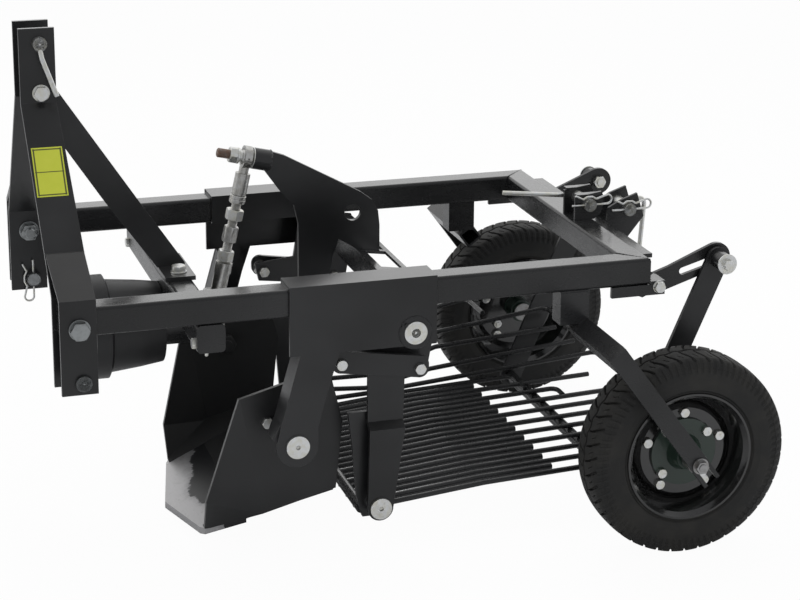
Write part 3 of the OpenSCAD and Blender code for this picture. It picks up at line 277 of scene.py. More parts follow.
# %% Bright metals
def bright_metal(name, colour, gloss, cloud=(0.62, 0.60, 0.52), scuff=0.5, grime=0.3):
    coat = Coat(name)
    patches = coat.noise(90, 3)
    fine = coat.noise(1500, 3, 0.7)
    marks = coat.noise(260, 4, 0.7, (1, 6, 1))
    dirt = (coat.noise(160, 5, 0.65).ramp(0.55, 0.75) * grime).clipped()
    tone = coat.mix(patches.ramp(0.35, 0.68), colour, cloud)
    tone = coat.mix(dirt, tone, (0.16, 0.15, 0.14))
    rough = gloss + (marks - 0.5) * 0.3 * scuff + dirt * 0.3
    return coat.finish({
        "Base Color": tone, "Metallic": 1 - dirt * 0.5, "Roughness": rough.clipped(),
        "Normal": coat.bump(fine + marks, 0.00003, coat.edge_normal(0.0006))})


zinc = bright_metal("zinc_plate", (0.78, 0.79, 0.79), 0.36, (0.72, 0.71, 0.64))
dull_zinc = bright_metal("dull_zinc", (0.34, 0.355, 0.36), 0.32, (0.27, 0.28, 0.28))
rod_steel = bright_metal("rod_steel", (0.57, 0.57, 0.56), 0.30, (0.47, 0.46, 0.43), 0.8, 0.45)
axle_steel = bright_metal("turned_steel", (0.36, 0.36, 0.36), 0.34, (0.28, 0.27, 0.26), 0.8, 0.5)
print("metals:", zinc.name, dull_zinc.name, rod_steel.name, axle_steel.name)

# %% [markdown]
# ## Stud with a touch of rust
#
# The free end of the lever's stud carries bare thread. It has gone brown in patches in store, so
# one coarse noise decides where the rust lies, and a finer one mixes its two browns.

# %% Rusty thread
def rusty_steel():
    coat = Coat("rusty_stud")
    spread = coat.noise(120, 5, 0.7)
    rust = spread.ramp(0.30, 0.62)
    tone = coat.mix(rust, (0.30, 0.27, 0.25), coat.mix(coat.noise(700, 3), (0.16, 0.09, 0.06),
                                                     (0.26, 0.17, 0.12)))
    return coat.finish({
        "Base Color": tone, "Metallic": 1 - rust * 0.8, "Roughness": 0.35 + rust * 0.35,
        "Normal": coat.bump(coat.noise(900, 4, 0.7), 0.0001, coat.edge_normal(0.0004))})


stud_rust = rusty_steel()
print("stud finish:", stud_rust.name)

# %% [markdown]
# ## The blade
#
# Soil polishes a digging blade. Its front band is bare ground steel and the paint behind it ends in
# a ragged line. The mask measures how far a point lies behind the pointed front edge, noise makes
# the line uneven, and a slight lean leaves more bare steel on the far side.

# %% Worn blade
TIP_S = 231
WING_S = 265
WING_Y = 160
WEAR_END = 0.048


def worn_blade():
    coat = Coat("worn_blade")
    x, y = coat.axes()[:2]
    rake = (WING_S - TIP_S) / WING_Y
    tip_x = (FRONT_S + TIP_S) / 1000
    behind = x - tip_x - y.size() * rake
    ragged = (coat.noise(28, 5, 0.6) - 0.5) * 0.040 + (coat.noise(150, 4, 0.7) - 0.5) * 0.014
    lean = y * -0.045
    reach = behind + ragged + lean
    paint = reach.ramp(0.043, WEAR_END)
    halo = reach.ramp(0.030, WEAR_END)
    grind = coat.noise(60, 6, 0.75, (22, 1, 1))
    stain = coat.noise(70, 5, 0.7).ramp(0.55, 0.75)
    steel = coat.mix(grind, (0.36, 0.355, 0.36), (0.56, 0.555, 0.56))
    steel = coat.mix(stain * 0.35, steel, (0.17, 0.15, 0.14))
    steel = coat.mix(halo * 0.35, steel, (0.12, 0.12, 0.13))
    tone = coat.mix(paint, steel, (0.0075, 0.0077, 0.0085))
    rough = (0.34 + grind * 0.16) * (1 - paint) + paint * 0.36
    relief = grind * 0.25 + paint * 2.5 + stain * 0.5
    return coat.finish({
        "Base Color": tone, "Metallic": (1 - paint) * 0.85, "Roughness": rough,
        "Normal": coat.bump(relief, 0.00012, coat.edge_normal(0.0012))})


blade_finish = worn_blade()
print("blade finish:", blade_finish.name)

# %% [markdown]
# ## Rubber, plastic and wheel paint
#
# Tyre rubber is a dull near-black with a brownish bloom and a fine grain from the mould. The bell
# over the shaft is a plain dark plastic with mould lines. The wheel's dish has glossy black enamel
# and the hub a dark green one.

# %% Tyre rubber
def tyre_rubber():
    coat = Coat("tyre_rubber")
    bloom = coat.noise(14, 4, 0.6)
    grain = coat.noise(1300, 3, 0.7)
    tone = coat.mix(bloom.ramp(0.35, 0.7), (0.0085, 0.0085, 0.0082), (0.021, 0.020, 0.0175))
    dusty = coat.noise(55, 5, 0.65).ramp(0.58, 0.8) * 0.3
    tone = coat.mix(dusty, tone, (0.045, 0.042, 0.037))
    return coat.finish({
        "Base Color": tone, "Roughness": 0.52 + bloom * 0.22, "Specular IOR Level": 0.42,
        "Normal": coat.bump(grain + bloom * 0.4, 0.00010, coat.edge_normal(0.0007))})


# %% Enamels and plastic
def enamel(name, colour, gloss, coat_weight):
    coat = Coat(name)
    flow = coat.noise(45, 3)
    dirt = coat.noise(80, 5, 0.65).ramp(0.55, 0.8) * 0.22
    tone = coat.mix(dirt, coat.mix(flow, colour, tuple(c * 1.6 for c in colour)),
                    (0.06, 0.057, 0.05))
    return coat.finish({
        "Base Color": tone, "Roughness": gloss + dirt * 0.8, "Coat Weight": coat_weight,
        "Coat Roughness": 0.08,
        "Normal": coat.bump(flow + coat.noise(500, 2) * 0.15, 0.0003, coat.edge_normal(0.0009))})


def moulded_plastic():
    coat = Coat("shield_plastic")
    rings = (coat.axes()[0] * 2100).wave()
    cloud = coat.noise(30, 4)
    tone = coat.mix(cloud, (0.007, 0.0072, 0.008), (0.014, 0.0142, 0.015))
    return coat.finish({
        "Base Color": tone, "Roughness": 0.36 + cloud * 0.14,
        "Normal": coat.bump(rings * 0.3 + coat.noise(600, 2), 0.00006,
                            coat.edge_normal(0.0012))})


rubber = tyre_rubber()
rim_enamel = enamel("rim_black", (0.0055, 0.0055, 0.0055), 0.16, 0.8)
hub_enamel = enamel("hub_green", (0.010, 0.022, 0.015), 0.34, 0.3)
plastic = moulded_plastic()
print("wheel finishes ready")

# %% [markdown]
# ## A plain sticker
#
# The near leg of the mast carries a yellow-green film. It stays free of words and pictures: only a
# dark frame line and one divider, as on any blank label.

# %% Blank label
def blank_label():
    coat = Coat("blank_label")
    low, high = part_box("sticker")
    x, _, z = coat.axes()
    across = ((x - (low.x + high.x) / 2) / (high.x - low.x)).size() * 2
    up = (z - low.z) / (high.z - low.z)
    edge = across.ramp(0.80, 0.84) * (1 - across.ramp(0.90, 0.94))
    tall = (up - 0.5).size() * 2
    edge = edge + tall.ramp(0.88, 0.90) * (1 - tall.ramp(0.93, 0.95))
    edge = edge + (1 - (up - 0.5).size().ramp(0.006, 0.012))
    inside = (1 - across.ramp(0.93, 0.94)) * (1 - tall.ramp(0.95, 0.96))
    film = coat.mix(coat.noise(40, 3), (0.60, 0.66, 0.045), (0.68, 0.72, 0.07))
    tone = coat.mix((edge * inside).clipped() * 0.9, film, (0.02, 0.022, 0.02))
    return coat.finish({
        "Base Color": tone, "Roughness": 0.30 + coat.noise(60, 2) * 0.1,
        "Normal": coat.bump(coat.noise(90, 3), 0.0002)})


label = blank_label()
print("label finish:", label.name)

# %% [markdown]
# ## Hand the finishes to the CAD parts
#
# Each solid keeps its shape and gets its finish by name. A glTF import gives one material slot for
# each mesh, so we clear the slots and add ours.

# %% Which part has which finish
FINISHES = {
    frame_paint: ["left_rail", "right_rail", "rear_crossmember", "front_crossmember", "rear_tabs",
                  "rear_lugs", "slotted_plates", "wheel_carriers", "drive_housing",
                  "rocker_crossbar"],
    plate_paint: ["left_mast_leg", "right_mast_leg", "hitch_plates", "mast_brace",
                  "side_brackets", "lever_plate", "rocker_sides", "straps",
                  "swing_arms", "sieve_sides", "hanger_arms", "spacer_tubes"],
    trough_paint_shaded: ["share_trough"],
    rod_paint: ["sieve_floor_rods", "sieve_short_rods", "sieve_guard_rods",
                "sieve_cross_bars"],
    zinc: ["hitch_bolts", "lower_link_pins", "spring_clips", "mast_bolts", "frame_bolts",
           "top_link_pin", "share_pivot_pins", "share_bolts", "rocker_pivot_pins",
           "strap_bolt_set", "low_pivot_pins", "hanger_bolts", "parked_pins",
           "left_wheel_bolts", "right_wheel_bolts"],
    rod_steel: ["rod_eye", "rod_ball", "turnbuckle", "rod_nuts", "rod_lower_end", "lever_stud"],
    axle_steel: ["axles", "drive_shaft"],
    blade_finish: ["share_blade"],
    plastic: ["pto_shield"],
    rubber: ["left_tyre", "right_tyre"],
    rim_enamel: ["left_rim", "right_rim"],
    hub_enamel: ["left_wheel_hub", "right_wheel_hub"],
    label: ["sticker"],
}
for finish, names in FINISHES.items():
    for name in names:
        nodes[name].data.materials.clear()
        nodes[name].data.materials.append(finish)
print("dressed:", sum(len(v) for v in FINISHES.values()), "of", len(nodes))

# %% [markdown]
# ## Building meshes from rings
#
# Nearly every added piece is a surface made of rings: a bent rod, a thread, a nut or a tyre. One
# function joins rings of points into a skin, and the others only say where the points lie. That is
# shorter than a modifier for each case, and every face is where we put it.

# %% Skin over rings
def skin(name, rings, finish, body, closed=False, capped=True, smooth=True):
    """A mesh through rings of equally many points, riding on a body."""
    mesh = bpy.data.meshes.new(name)
    bm = bmesh.new()
    rows = [[bm.verts.new(p) for p in ring] for ring in rings]
    count = len(rows[0])
    pairs = list(zip(rows, rows[1:]))
    if closed:
        pairs.append((rows[-1], rows[0]))
    for a, b in pairs:
        for i in range(count):
            j = (i + 1) % count
            bm.faces.new((a[i], a[j], b[j], b[i]))
    if capped and not closed:
        bm.faces.new(rows[0][::-1])
        bm.faces.new(rows[-1])
    bmesh.ops.recalc_face_normals(bm, faces=bm.faces)
    for face in bm.faces:
        face.smooth = smooth
    bm.to_mesh(mesh)
    bm.free()
    mesh.materials.append(finish)
    piece = bpy.data.objects.new(name, mesh)
    bpy.context.scene.collection.objects.link(piece)
    if smooth:
        mark_sharp(mesh)
    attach(piece, body)
    return piece


def mark_sharp(mesh, limit=0.6):
    """Keeps edges crisp where two faces meet at more than the limit, in radians."""
    bm = bmesh.new()
    bm.from_mesh(mesh)
    for edge in bm.edges:
        if len(edge.link_faces) == 2 and edge.calc_face_angle(0) > limit:
            edge.smooth = False
    bm.to_mesh(mesh)
    bm.free()


# %% A ring of points across a line
def ring_points(centre, along, radii, start=None):
    """Points round a centre, square to a direction. Radii holds one radius for each point."""
    u = along.normalized()
    side = start or (UP if abs(u.z) < 0.9 else BACK)
    side = (side - side.dot(u) * u).normalized()
    other = u.cross(side)
    count = len(radii)
    return [centre + r * (math.cos(2 * math.pi * i / count) * side
                          + math.sin(2 * math.pi * i / count) * other)
            for i, r in enumerate(radii)]


# %% Rounding a line's corners
def rounded(points, radius, steps=7):
    """A line of points with each corner replaced by an arc."""
    out = [points[0]]
    for before, corner, after in zip(points, points[1:], points[2:]):
        u = (corner - before).normalized()
        v = (after - corner).normalized()
        turn = u.angle(v)
        if turn < 0.02:
            out.append(corner)
            continue
        cut = radius * math.tan(turn / 2)
        axis = u.cross(v).normalized()
        centre = corner - u * cut + axis.cross(u) * radius
        arm = corner - u * cut - centre
        out += [centre + Quaternion(axis, turn * k / steps) @ arm for k in range(steps + 1)]
    out.append(points[-1])
    return out


# %% A bent bar
def bent_bar(name, points, diameter, bend, finish, body, sides=14, chamfer=0.0):
    """A round bar along a line of points, with rounded corners and perhaps chamfered ends. All
    lengths are in metres."""
    line = rounded(points, bend)
    r = diameter / 2
    rings = []
    hold = None
    for i, p in enumerate(line):
        a = line[max(i - 1, 0)]
        b = line[min(i + 1, len(line) - 1)]
        along = (b - a).normalized()
        rings.append(ring_points(p, along, [r] * sides, hold))
        hold = rings[-1][0] - p
    if chamfer:
        first = (line[1] - line[0]).normalized()
        last = (line[-1] - line[-2]).normalized()
        thin = (r - chamfer) / r
        head = [line[0] + (q - line[0]) * thin for q in rings[0]]
        tail = [line[-1] + (q - line[-1]) * thin for q in rings[-1]]
        rings[0] = [q + first * chamfer for q in rings[0]]
        rings[-1] = [q - last * chamfer for q in rings[-1]]
        rings = [head] + rings + [tail]
    return skin(name, rings, finish, body)


print("mesh helpers ready")

# %% [markdown]
# ## Sieve rods
#
# The rods are round bar, bent cold. On the machine each one starts under the front bar and rises
# gently towards the rear, and a few turn sideways at the end. A swept ring gives their true smooth
# bends.

# %% Floor rods and short rods
ROD_D = 10
SHORT_D = 12
SHORT_END = 930
PITCH = 50
BEND_R = 0.016
FRONT_BAR = (539, -395)
BAR_D = 20
SEAT_GAP = 0.2
BED = [(FRONT_BAR[0], FRONT_BAR[1] - BAR_D / 2 - SEAT_GAP), (786, -387), (1190, -370)]
BED_SLOPE = (BED[2][1] - BED[1][1]) / (BED[2][0] - BED[1][0])
TURNED_ENDS = {3: (1085, 0.8 * PITCH), 5: (1025, 1.6 * PITCH)}


def bed_height(s):
    return BED[1][1] + (s - BED[1][0]) * BED_SLOPE


def bed_rod(name, y, end_s, hook, thick):
    points = [place(BED[0][0], y, BED[0][1] - thick / 2), place(BED[1][0], y, BED[1][1]),
              place(end_s, y, bed_height(end_s))]
    if hook:
        points.append(place(end_s, y - hook, bed_height(end_s)))
    return bent_bar(name, points, thick / 1000, BEND_R, rod_paint, "sieve",
                    chamfer=0.0006)


for i in range(-5, 6):
    end_s, hook = TURNED_ENDS.get(i, (BED[2][0] - abs(i) * 3, 0))
    rod = bed_rod(f"floor_rod_{i + 6:02d}", i * PITCH, end_s, hook, ROD_D)
    if i == -5:
        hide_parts("sieve_floor_rods")
for i in range(-5, 5):
    rod = bed_rod(f"short_rod_{i + 6:02d}", (i + 0.5) * PITCH, SHORT_END, 0, SHORT_D)
    if i == -5:
        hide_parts("sieve_short_rods")
print("floor rods 11, short rods 10")

# %% Guard rods of the right side
WALL_Y = 280 - ROD_D / 2
GUARD_Y = 5 * PITCH
GUARDS = [
    [(566, WALL_Y, -262), (606, WALL_Y, -262), (700, GUARD_Y, -244), (856, GUARD_Y, -208),
     (921, GUARD_Y, -195), (921, GUARD_Y - 100, -195)],
    [(566, WALL_Y, -312), (606, WALL_Y, -312), (704, GUARD_Y, -302), (853, GUARD_Y, -263),
     (1099, GUARD_Y, -232), (1099, GUARD_Y - 100, -232)],
    [(566, WALL_Y, -350), (606, WALL_Y, -350), (704, GUARD_Y, -342), (853, GUARD_Y, -295),
     (1121, GUARD_Y, -277)],
    [(586, WALL_Y, -372), (606, WALL_Y, -372), (704, GUARD_Y, -370), (843, GUARD_Y, -342),
     (1163, GUARD_Y, -311)],
    [(586, WALL_Y, -396), (606, WALL_Y, -396), (704, GUARD_Y, -382), (800, GUARD_Y, -374),
     (1215, GUARD_Y, -341), (1215, GUARD_Y - 105, -341)],
]
for i, line in enumerate(GUARDS):
    rod = bent_bar(f"guard_rod_{i + 1}", [place(*p) for p in line], ROD_D / 1000, BEND_R,
                   rod_paint, "sieve", chamfer=0.0006)
    if i == 0:
        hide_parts("sieve_guard_rods")
print("guard rods", len(GUARDS))

# %% [markdown]
# ## Tyres
#
# A moulded tyre has a smooth sidewall, short ribs round the shoulder and blocks on the tread, with
# curved cross grooves. All of it repeats round the axle, so the whole surface is one grid whose
# radius comes from a formula: the section's own line, less the grooves at that angle.

# %% Section of the tyre
AXLE = (1099, -286)
WHEEL_Y = 430
TYRE_R = 189
BEAD_R = 113
SECTION = [(BEAD_R, -33), (BEAD_R + 4, -37.5), (BEAD_R + 9, -40), (BEAD_R + 11, -39.3),
           (BEAD_R + 14, -42.5), (BEAD_R + 26, -44.9), (BEAD_R + 38, -45), (TYRE_R - 24, -44),
           (TYRE_R - 19, -43.4), (TYRE_R - 18, -44.2), (TYRE_R - 10, -41), (TYRE_R - 6, -38),
           (TYRE_R - 3, -34), (TYRE_R - 1.4, -28), (TYRE_R - 0.6, -20), (TYRE_R, -10)]
HALF = len(SECTION)
print("section points", HALF * 2)


def tyre_profile(step=1.2):
    """The section from bead to bead in small steps: radius and side in millimetres."""
    whole = SECTION + [(r, -w) for r, w in reversed(SECTION)]
    line = []
    for (r0, w0), (r1, w1) in zip(whole, whole[1:]):
        parts = max(1, round(math.hypot(r1 - r0, w1 - w0) / step))
        line += [(r0 + (r1 - r0) * k / parts, w0 + (w1 - w0) * k / parts) for k in range(parts)]
    return line + [whole[-1]]


# %% Depth of the grooves
BLOCKS = 42
RIBS = 84


def notch(phase, width, depth):
    """A groove where the phase comes near a whole number, with steep walls."""
    near = min(phase % 1, 1 - phase % 1)
    return depth * max(0.0, 1 - (near / width) ** 6)


def groove(angle, r, w):
    """How deep the mould cuts at this angle and place of the section, in millimetres."""
    turn = angle / (2 * math.pi)
    side = abs(w)
    depth = 0.0
    if r > TYRE_R - 8:
        hand = 1 if w > 0 else -1
        sweep = 0.62 * (side / 38) ** 1.7 + (0.5 if hand > 0 else 0)
        if side > 4.5:
            depth = notch(turn * BLOCKS + sweep, 0.09 if side > 16 else 0.05, 5.0)
        if side < 6:
            bend = 2.0 * math.sin(turn * BLOCKS * 2 * math.pi)
            depth = max(depth, 5.5 * max(0.0, 1 - (abs(w - bend) / 2.2) ** 6))
        if 19 < side < 31:
            depth = max(depth, notch(turn * BLOCKS + sweep + 0.5, 0.035, 2.2))
    if TYRE_R - 31 < r < TYRE_R - 4 and side > 30:
        fade = min(1, (r - TYRE_R + 31) / 5, (TYRE_R - 4 - r) / 3)
        lean = 0.012 * (TYRE_R - r)
        depth = max(depth, notch(turn * RIBS + lean, 0.27, 2.1 * fade))
    return depth


# %% Both tyres
AROUND = 1008


def tyre(name, side, body):
    hub = place(AXLE[0], side * WHEEL_Y, AXLE[1])
    profile = tyre_profile()
    rings = []
    for i in range(AROUND):
        a = 2 * math.pi * i / AROUND
        out = Vector((math.cos(a), 0, math.sin(a)))
        ring = []
        for r, w in profile:
            cut = groove(a, r, w)
            tread = min(1, max(0, (r - TYRE_R + 12) / 8))
            ring.append(hub + out * (r - cut * (0.35 + 0.65 * tread)) / 1000
                        + Vector((0, (w - math.copysign(cut * (1 - tread) * 0.7, w)) / 1000, 0)))
        rings.append(ring + [hub + out * (BEAD_R + 1) / 1000 + Vector((0, w / 1000, 0))
                             for w in (20, -20)])
    made = skin(name, rings, rubber, body, closed=True)
    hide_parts(name.replace("_moulded", ""))
    return made


for side, word in SIDES:
    print(tyre(f"{word}_tyre_moulded", side, f"{word}_wheel").name)

# %% [markdown]
# ## Nuts, threads and turned pieces
#
# A nut, a bolt head, a collar and a thread are all a radius that changes with angle and distance
# along an axis. One function takes that radius as a formula. For a hexagon the radius is the
# distance to the flat, cut by the chamfer's cone; for a thread it is a saw tooth that climbs once a
# turn.

# %% A turned or cut piece along an axis
def machined(name, origin, along, lengths, finish, body, sides=48, bore=0.0):
    """One skin over lengths that follow each other. Each length is a list of stops along the axis
    and a radius, in millimetres, as a formula of angle and distance."""
    u = along.normalized()

    def ring(radius, d):
        return ring_points(origin + u * d / 1000, u,
                           [radius(2 * math.pi * i / sides, d) / 1000 for i in range(sides)])

    rings = [ring(radius, d) for stops, radius in lengths for d in stops]
    if bore:
        ends = lengths[-1][0][-1], lengths[0][0][0]
        rings += [ring(lambda angle, d: bore, d) for d in ends]
    return skin(name, rings, finish, body, closed=bool(bore))


# %% Kinds of length: hexagon, turned profile, washer and thread
CHAMFER = 1.4
CORNER_RISE = 0.0774


def hexagon(flats, d0, d1, low=True, high=True):
    """A hexagon whose corners are turned off at its low or high end, or both."""
    def radius(angle, d):
        part = (angle + math.pi / 6) % (math.pi / 3) - math.pi / 6
        flat = flats / 2 / math.cos(part)
        end = min(d - d0 if low else 99, d1 - d if high else 99)
        return min(flat, flats / 2 + (end - 0.15) * (flats * CORNER_RISE / CHAMFER))

    first = [d0 + CHAMFER * k / 4 for k in range(5)] if low else [d0]
    last = [d1 - CHAMFER * (4 - k) / 4 for k in range(5)] if high else [d1]
    return first + last, radius


def turned(*profile):
    """A turned length through distances and radii."""
    def radius(angle, d):
        for (d0, r0), (d1, r1) in zip(profile, profile[1:]):
            if d0 <= d <= d1:
                return r0 + (r1 - r0) * ((d - d0) / (d1 - d0) if d1 > d0 else 0)
        return profile[-1][1]

    return [d for d, _ in profile], radius


def washer(d0, d1, r):
    return turned((d0, r - 0.5), (d0 + 0.4, r), (d1 - 0.4, r), (d1, r - 0.5))


def thread(outer, pitch, depth):
    """Radius of a screw thread."""
    def radius(angle, d):
        tooth = abs(((d / pitch - angle / (2 * math.pi)) % 1) * 2 - 1)
        return outer - depth * min(1, max(0, tooth * 1.5 - 0.25))
    return radius


def cut_thread(d0, d1, outer, pitch):
    """A thread that ends in a cone."""
    stops = [d0 + k * pitch / 4 for k in range(int((d1 - d0) / pitch * 4))] + [d1]
    core = thread(outer, pitch, pitch * 0.54)
    return stops, lambda angle, d: min(core(angle, d), outer - 1.2 + abs(d1 - d))


print("machining helpers ready")

# %% [markdown]
# ## Connecting rod
#
# The rod that drives the rocker is adjustable: a double screw with a hexagonal coupler, lock nuts
# and a grooved collar. Its places are counted in millimetres down from the upper eye, along the
# rod.

# %% Adjustable rod
EYE = place(399, 0, 205)
RING = place(330, 0, -98)
DOWN = (RING - EYE).normalized()
SCREW_R = 9


def rod_piece(name, length, finish, bore=0.0):
    return machined(name, EYE, DOWN, [length], finish, "connecting_rod", bore=bore)


def screw(name, d0, d1, step=0.5):
    count = max(1, round((d1 - d0) / step))
    stops = [d0 + (d1 - d0) * k / count for k in range(count + 1)]
    return rod_piece(name, (stops, thread(SCREW_R, 2.2, 1.2)), rod_steel)


screw("upper_screw", 60, 134)
screw("lower_screw", 164, 226)
coupler = rod_piece("hex_coupler", hexagon(25, 134, 164), rod_steel, SCREW_R - 2)
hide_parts("turnbuckle")
lock_nut = rod_piece("upper_lock_nut", hexagon(30, 101, 121), zinc, SCREW_R + 0.1)
rod_piece("lower_lock_nut", hexagon(27, 181, 201), zinc, SCREW_R + 0.1)
rod_piece("upper_collar", turned(
    (73, 13.6), (74.4, 15), (80, 15), (80.6, 14.4), (81.4, 14.4), (82, 15), (87.6, 15), (89, 13.6)),
    rod_steel, SCREW_R + 0.1)
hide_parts("rod_nuts")
print("rod pieces along", round((RING - EYE).length * 1000), "mm")

# %% [markdown]
# ## Bolts
#
# Each bolt is one turned skin: chamfered head, washer, shank, washer, nut and a cut thread that
# ends in a cone. The distances below are counted from the head's outer face along the bolt, and
# each set of bolts stands for one CAD node.

# %% One bolt
def bolt(name, head, along, body, d, flats, high, washers, nut, length, finish=zinc):
    """A bolt from its head's outer face: shank d, head flats and height. Each washer has a start,
    an end and a radius, and the nut a start and an end."""
    r = d / 2
    lengths = [hexagon(flats, 0, high, high=False)]
    last = high
    for start, end, wide in washers:
        lengths += [turned((last, r), (start, r)), washer(start, end, wide)]
        last = end
    if nut:
        lengths += [turned((last, r), (nut[0], r)), hexagon(flats, *nut)]
        last = nut[1]
    lengths.append(cut_thread(last, length, r, d * 0.125))
    return machined(name, head, along, lengths, finish, body)


def beside(p, side, y):
    """A place given by station and height, at that distance from the middle plane."""
    return place(p[0], side * y, p[1])


# %% Hitch, mast and share bolts
HITCH_BOLT = (29, 16)
SHARE_BOLT = (374, -225)
for side, word in SIDES:
    made = bolt(f"{word}_hitch_bolt", beside(HITCH_BOLT, side, 359.4), ACROSS * -side, "frame", 20,
                30, 12.4, [(12.4, 15.4, 18.5), (81.4, 84.4, 19)], (84.4, 100.4), 107.4, dull_zinc)
    cheek = bolt(f"{word}_share_bolt", beside(SHARE_BOLT, side, 251.4), ACROSS * -side, "frame", 12,
                 19, 7.4, [], (15.4, 25.4), 29.4)
    foot = bolt(f"{word}_foot_bolt", place(258, side * 45, 21), -UP, "frame", 16, 24, 10,
                [(10, 13, 15), (71, 74, 15)], (74, 87), 90)
    if side < 0:
        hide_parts("hitch_bolts")
        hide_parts("share_bolts")
        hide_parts("mast_bolts")
bolt("mast_cross_bolt", place(20, -54.9, 358), ACROSS, "frame", 16, 24, 9.9,
     [(9.9, 12.9, 15.5), (96.9, 99.9, 15.5)], (99.9, 112.9), 119.9)
print("hitch, share and mast bolts")

# %% Strap, hanger and rear bolts
STRAP_BOLTS = [(494, -105), (640, -127)]
HANGER_BOLT = (1222, 26)
TAB_BOLT = (1087, -5)
BRACKET_Y = 318
for side, word in SIDES:
    inward = ACROSS * -side
    for i, p in enumerate(STRAP_BOLTS):
        made = bolt(f"{word}_strap_bolt_{i + 1}", beside(p, side, 315.4), inward, "rocker", 12, 19,
                    7.4, [(15.4, 38.4, 15)], (46.4, 56.4), 60.4)
        if side < 0 and i == 0:
            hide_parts("strap_bolt_set")
    made = bolt(f"{word}_hanger_bolt", beside(HANGER_BOLT, side, 348.4), inward, "frame", 16, 18,
                9.9, [(9.9, 12.9, 19)], None, 66.4)
    machined(f"{word}_hanger_nut", beside(HANGER_BOLT, side, 282), inward,
             [hexagon(24, 0, 11), cut_thread(11, 14, 8, 2)], zinc, "frame")
    tab = bolt(f"{word}_tab_bolt", beside(TAB_BOLT, side, 345.4), inward, "frame", 12, 19, 7.4,
               [(7.4, 9.4, 12)], (63.4, 73.4), 77.4)
    bolt(f"{word}_end_bolt", place(224, side * BRACKET_Y, -36), BACK, "frame", 10, 17, 6, [], None,
         20)
    machined(f"{word}_grease_stub", place(250, side * BRACKET_Y, -61), UP,
             [turned((0, 2.2), (1.5, 3.2), (4, 3.2), (4, 4.5), (11, 4.5))], zinc, "frame",
             24)
    if side < 0:
        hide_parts("hanger_bolts")
        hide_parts("frame_bolts")
print("strap, hanger and rear bolts")

# %% Wheel bolts: circle radius, number, first angle and face of each ring
BOLT_RINGS = ((74, 5, 0, 8), (56, 4, 50, 14))
for side, word in SIDES:
    count = 0
    for radius, many, first, face in BOLT_RINGS:
        for i in range(many):
            a = math.radians(first + i * 360 / many)
            spot = place(AXLE[0] + radius * math.sin(a), side * (WHEEL_Y + face + 7),
                         AXLE[1] + radius * math.cos(a))
            made = bolt(f"{word}_wheel_bolt_{count + 1}", spot, ACROSS * -side, f"{word}_wheel",
                        10, 17, 7, [], (face + 3, face + 11), face + 13)
            if count == 0:
                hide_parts(f"{word}_wheel_bolts")
            count += 1
print("wheel bolts", count, "on each side")

# %% [markdown]
# ## Spring clips, pins and handles
#
# A hitch pin is held by a clip of round spring wire: one straight leg goes through the pin and the
# other hugs its outside. The pins are turned bar with chamfered ends and a small centre mark. The
# top pin and the two parked ones also carry a handle of bent bar.

# %% Round-wire clips
WIRE_D = 4
LINK_PIN_D = 28
PIN_D = 25
PARKED = [(1057, 81), (1140, 66)]


def spring_clip(name, origin, out, down, pin_d, body, tail=21):
    """A clip whose straight leg lies along down through the origin, bulging towards out."""
    over = pin_d / 2 + WIRE_D / 2 + 0.6
    line = [(0, over + tail), (0, -34)]
    line += [(9 + 9 * math.cos(math.radians(a)), -36 + 9 * math.sin(math.radians(a)))
             for a in range(190, 391, 20)]
    line += [(over - 4, -over + 2), (over + 0.5, -6), (over + 0.8, 0), (over + 0.5, 6),
             (over - 4, over - 2), (over + 4, over + tail * 2 / 3)]
    points = [origin + (out * a - down * b) / 1000 for a, b in line]
    return bent_bar(name, points, WIRE_D / 1000, 0.003, zinc, body, sides=12,
                    chamfer=0.0005)


for side, word in SIDES:
    made = spring_clip(f"{word}_link_clip", beside(LOWER_LINK, side, 269), -BACK, -UP, LINK_PIN_D,
                       "frame")
    if side < 0:
        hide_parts("spring_clips")
for i, p in enumerate(PARKED):
    spring_clip(f"parked_clip_{i + 1}", place(p[0], -70.5, p[1]), UP, BACK, PIN_D, "frame")
print("clips ready")

# %% Pins with handles
HANDLE_D = 9
HANDLE_BEND = 12
TOP_LINK = (20, 447)


def pin(name, origin, along, d, length, body, finish=zinc):
    """A turned pin with chamfered ends and a shallow centre mark."""
    r = d / 2
    return machined(name, origin, along, [turned(
        (1.4, 0.6), (0, 1.8), (0, r - 1.6), (1.4, r), (length - 1.4, r), (length, r - 1.6),
        (length, 1.8), (length - 1.4, 0.6))], finish, body)


def handle(name, places, body, bend=HANDLE_BEND):
    return bent_bar(name, [place(*p) for p in places], HANDLE_D / 1000, bend / 1000, zinc, body,
                    chamfer=0.001)


for i, p in enumerate(PARKED):
    made = pin(f"parked_pin_{i + 1}", place(p[0], -78, p[1]), ACROSS, PIN_D, 90, "frame")
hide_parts("parked_pins")
handle("parked_handle_1", [(1048, 7, 81), (1033, 7, 82), (907, 7, 96)], "frame")
handle("parked_handle_2", [(1149, 7, 66), (1206, 7, 64), (1198, 7, -46)], "frame")
top = pin("top_pin_bar", beside(TOP_LINK, -1, 56), ACROSS, PIN_D, 118, "top_link_pin")
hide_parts("top_link_pin")
handle("top_pin_handle", [(20, -51, 436.5), (22, -60, 421), (45, -66, 355)], "top_link_pin", 14)
spring_clip("top_pin_clip", beside(TOP_LINK, 1, 52), BACK, -UP, PIN_D, "top_link_pin", 8)
for side, word in SIDES:
    made = pin(f"{word}_link_pin", beside(LOWER_LINK, side, 352), ACROSS * -side, LINK_PIN_D, 94,
               "frame", dull_zinc)
    if side < 0:
        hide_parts("lower_link_pins")
print("pins ready")

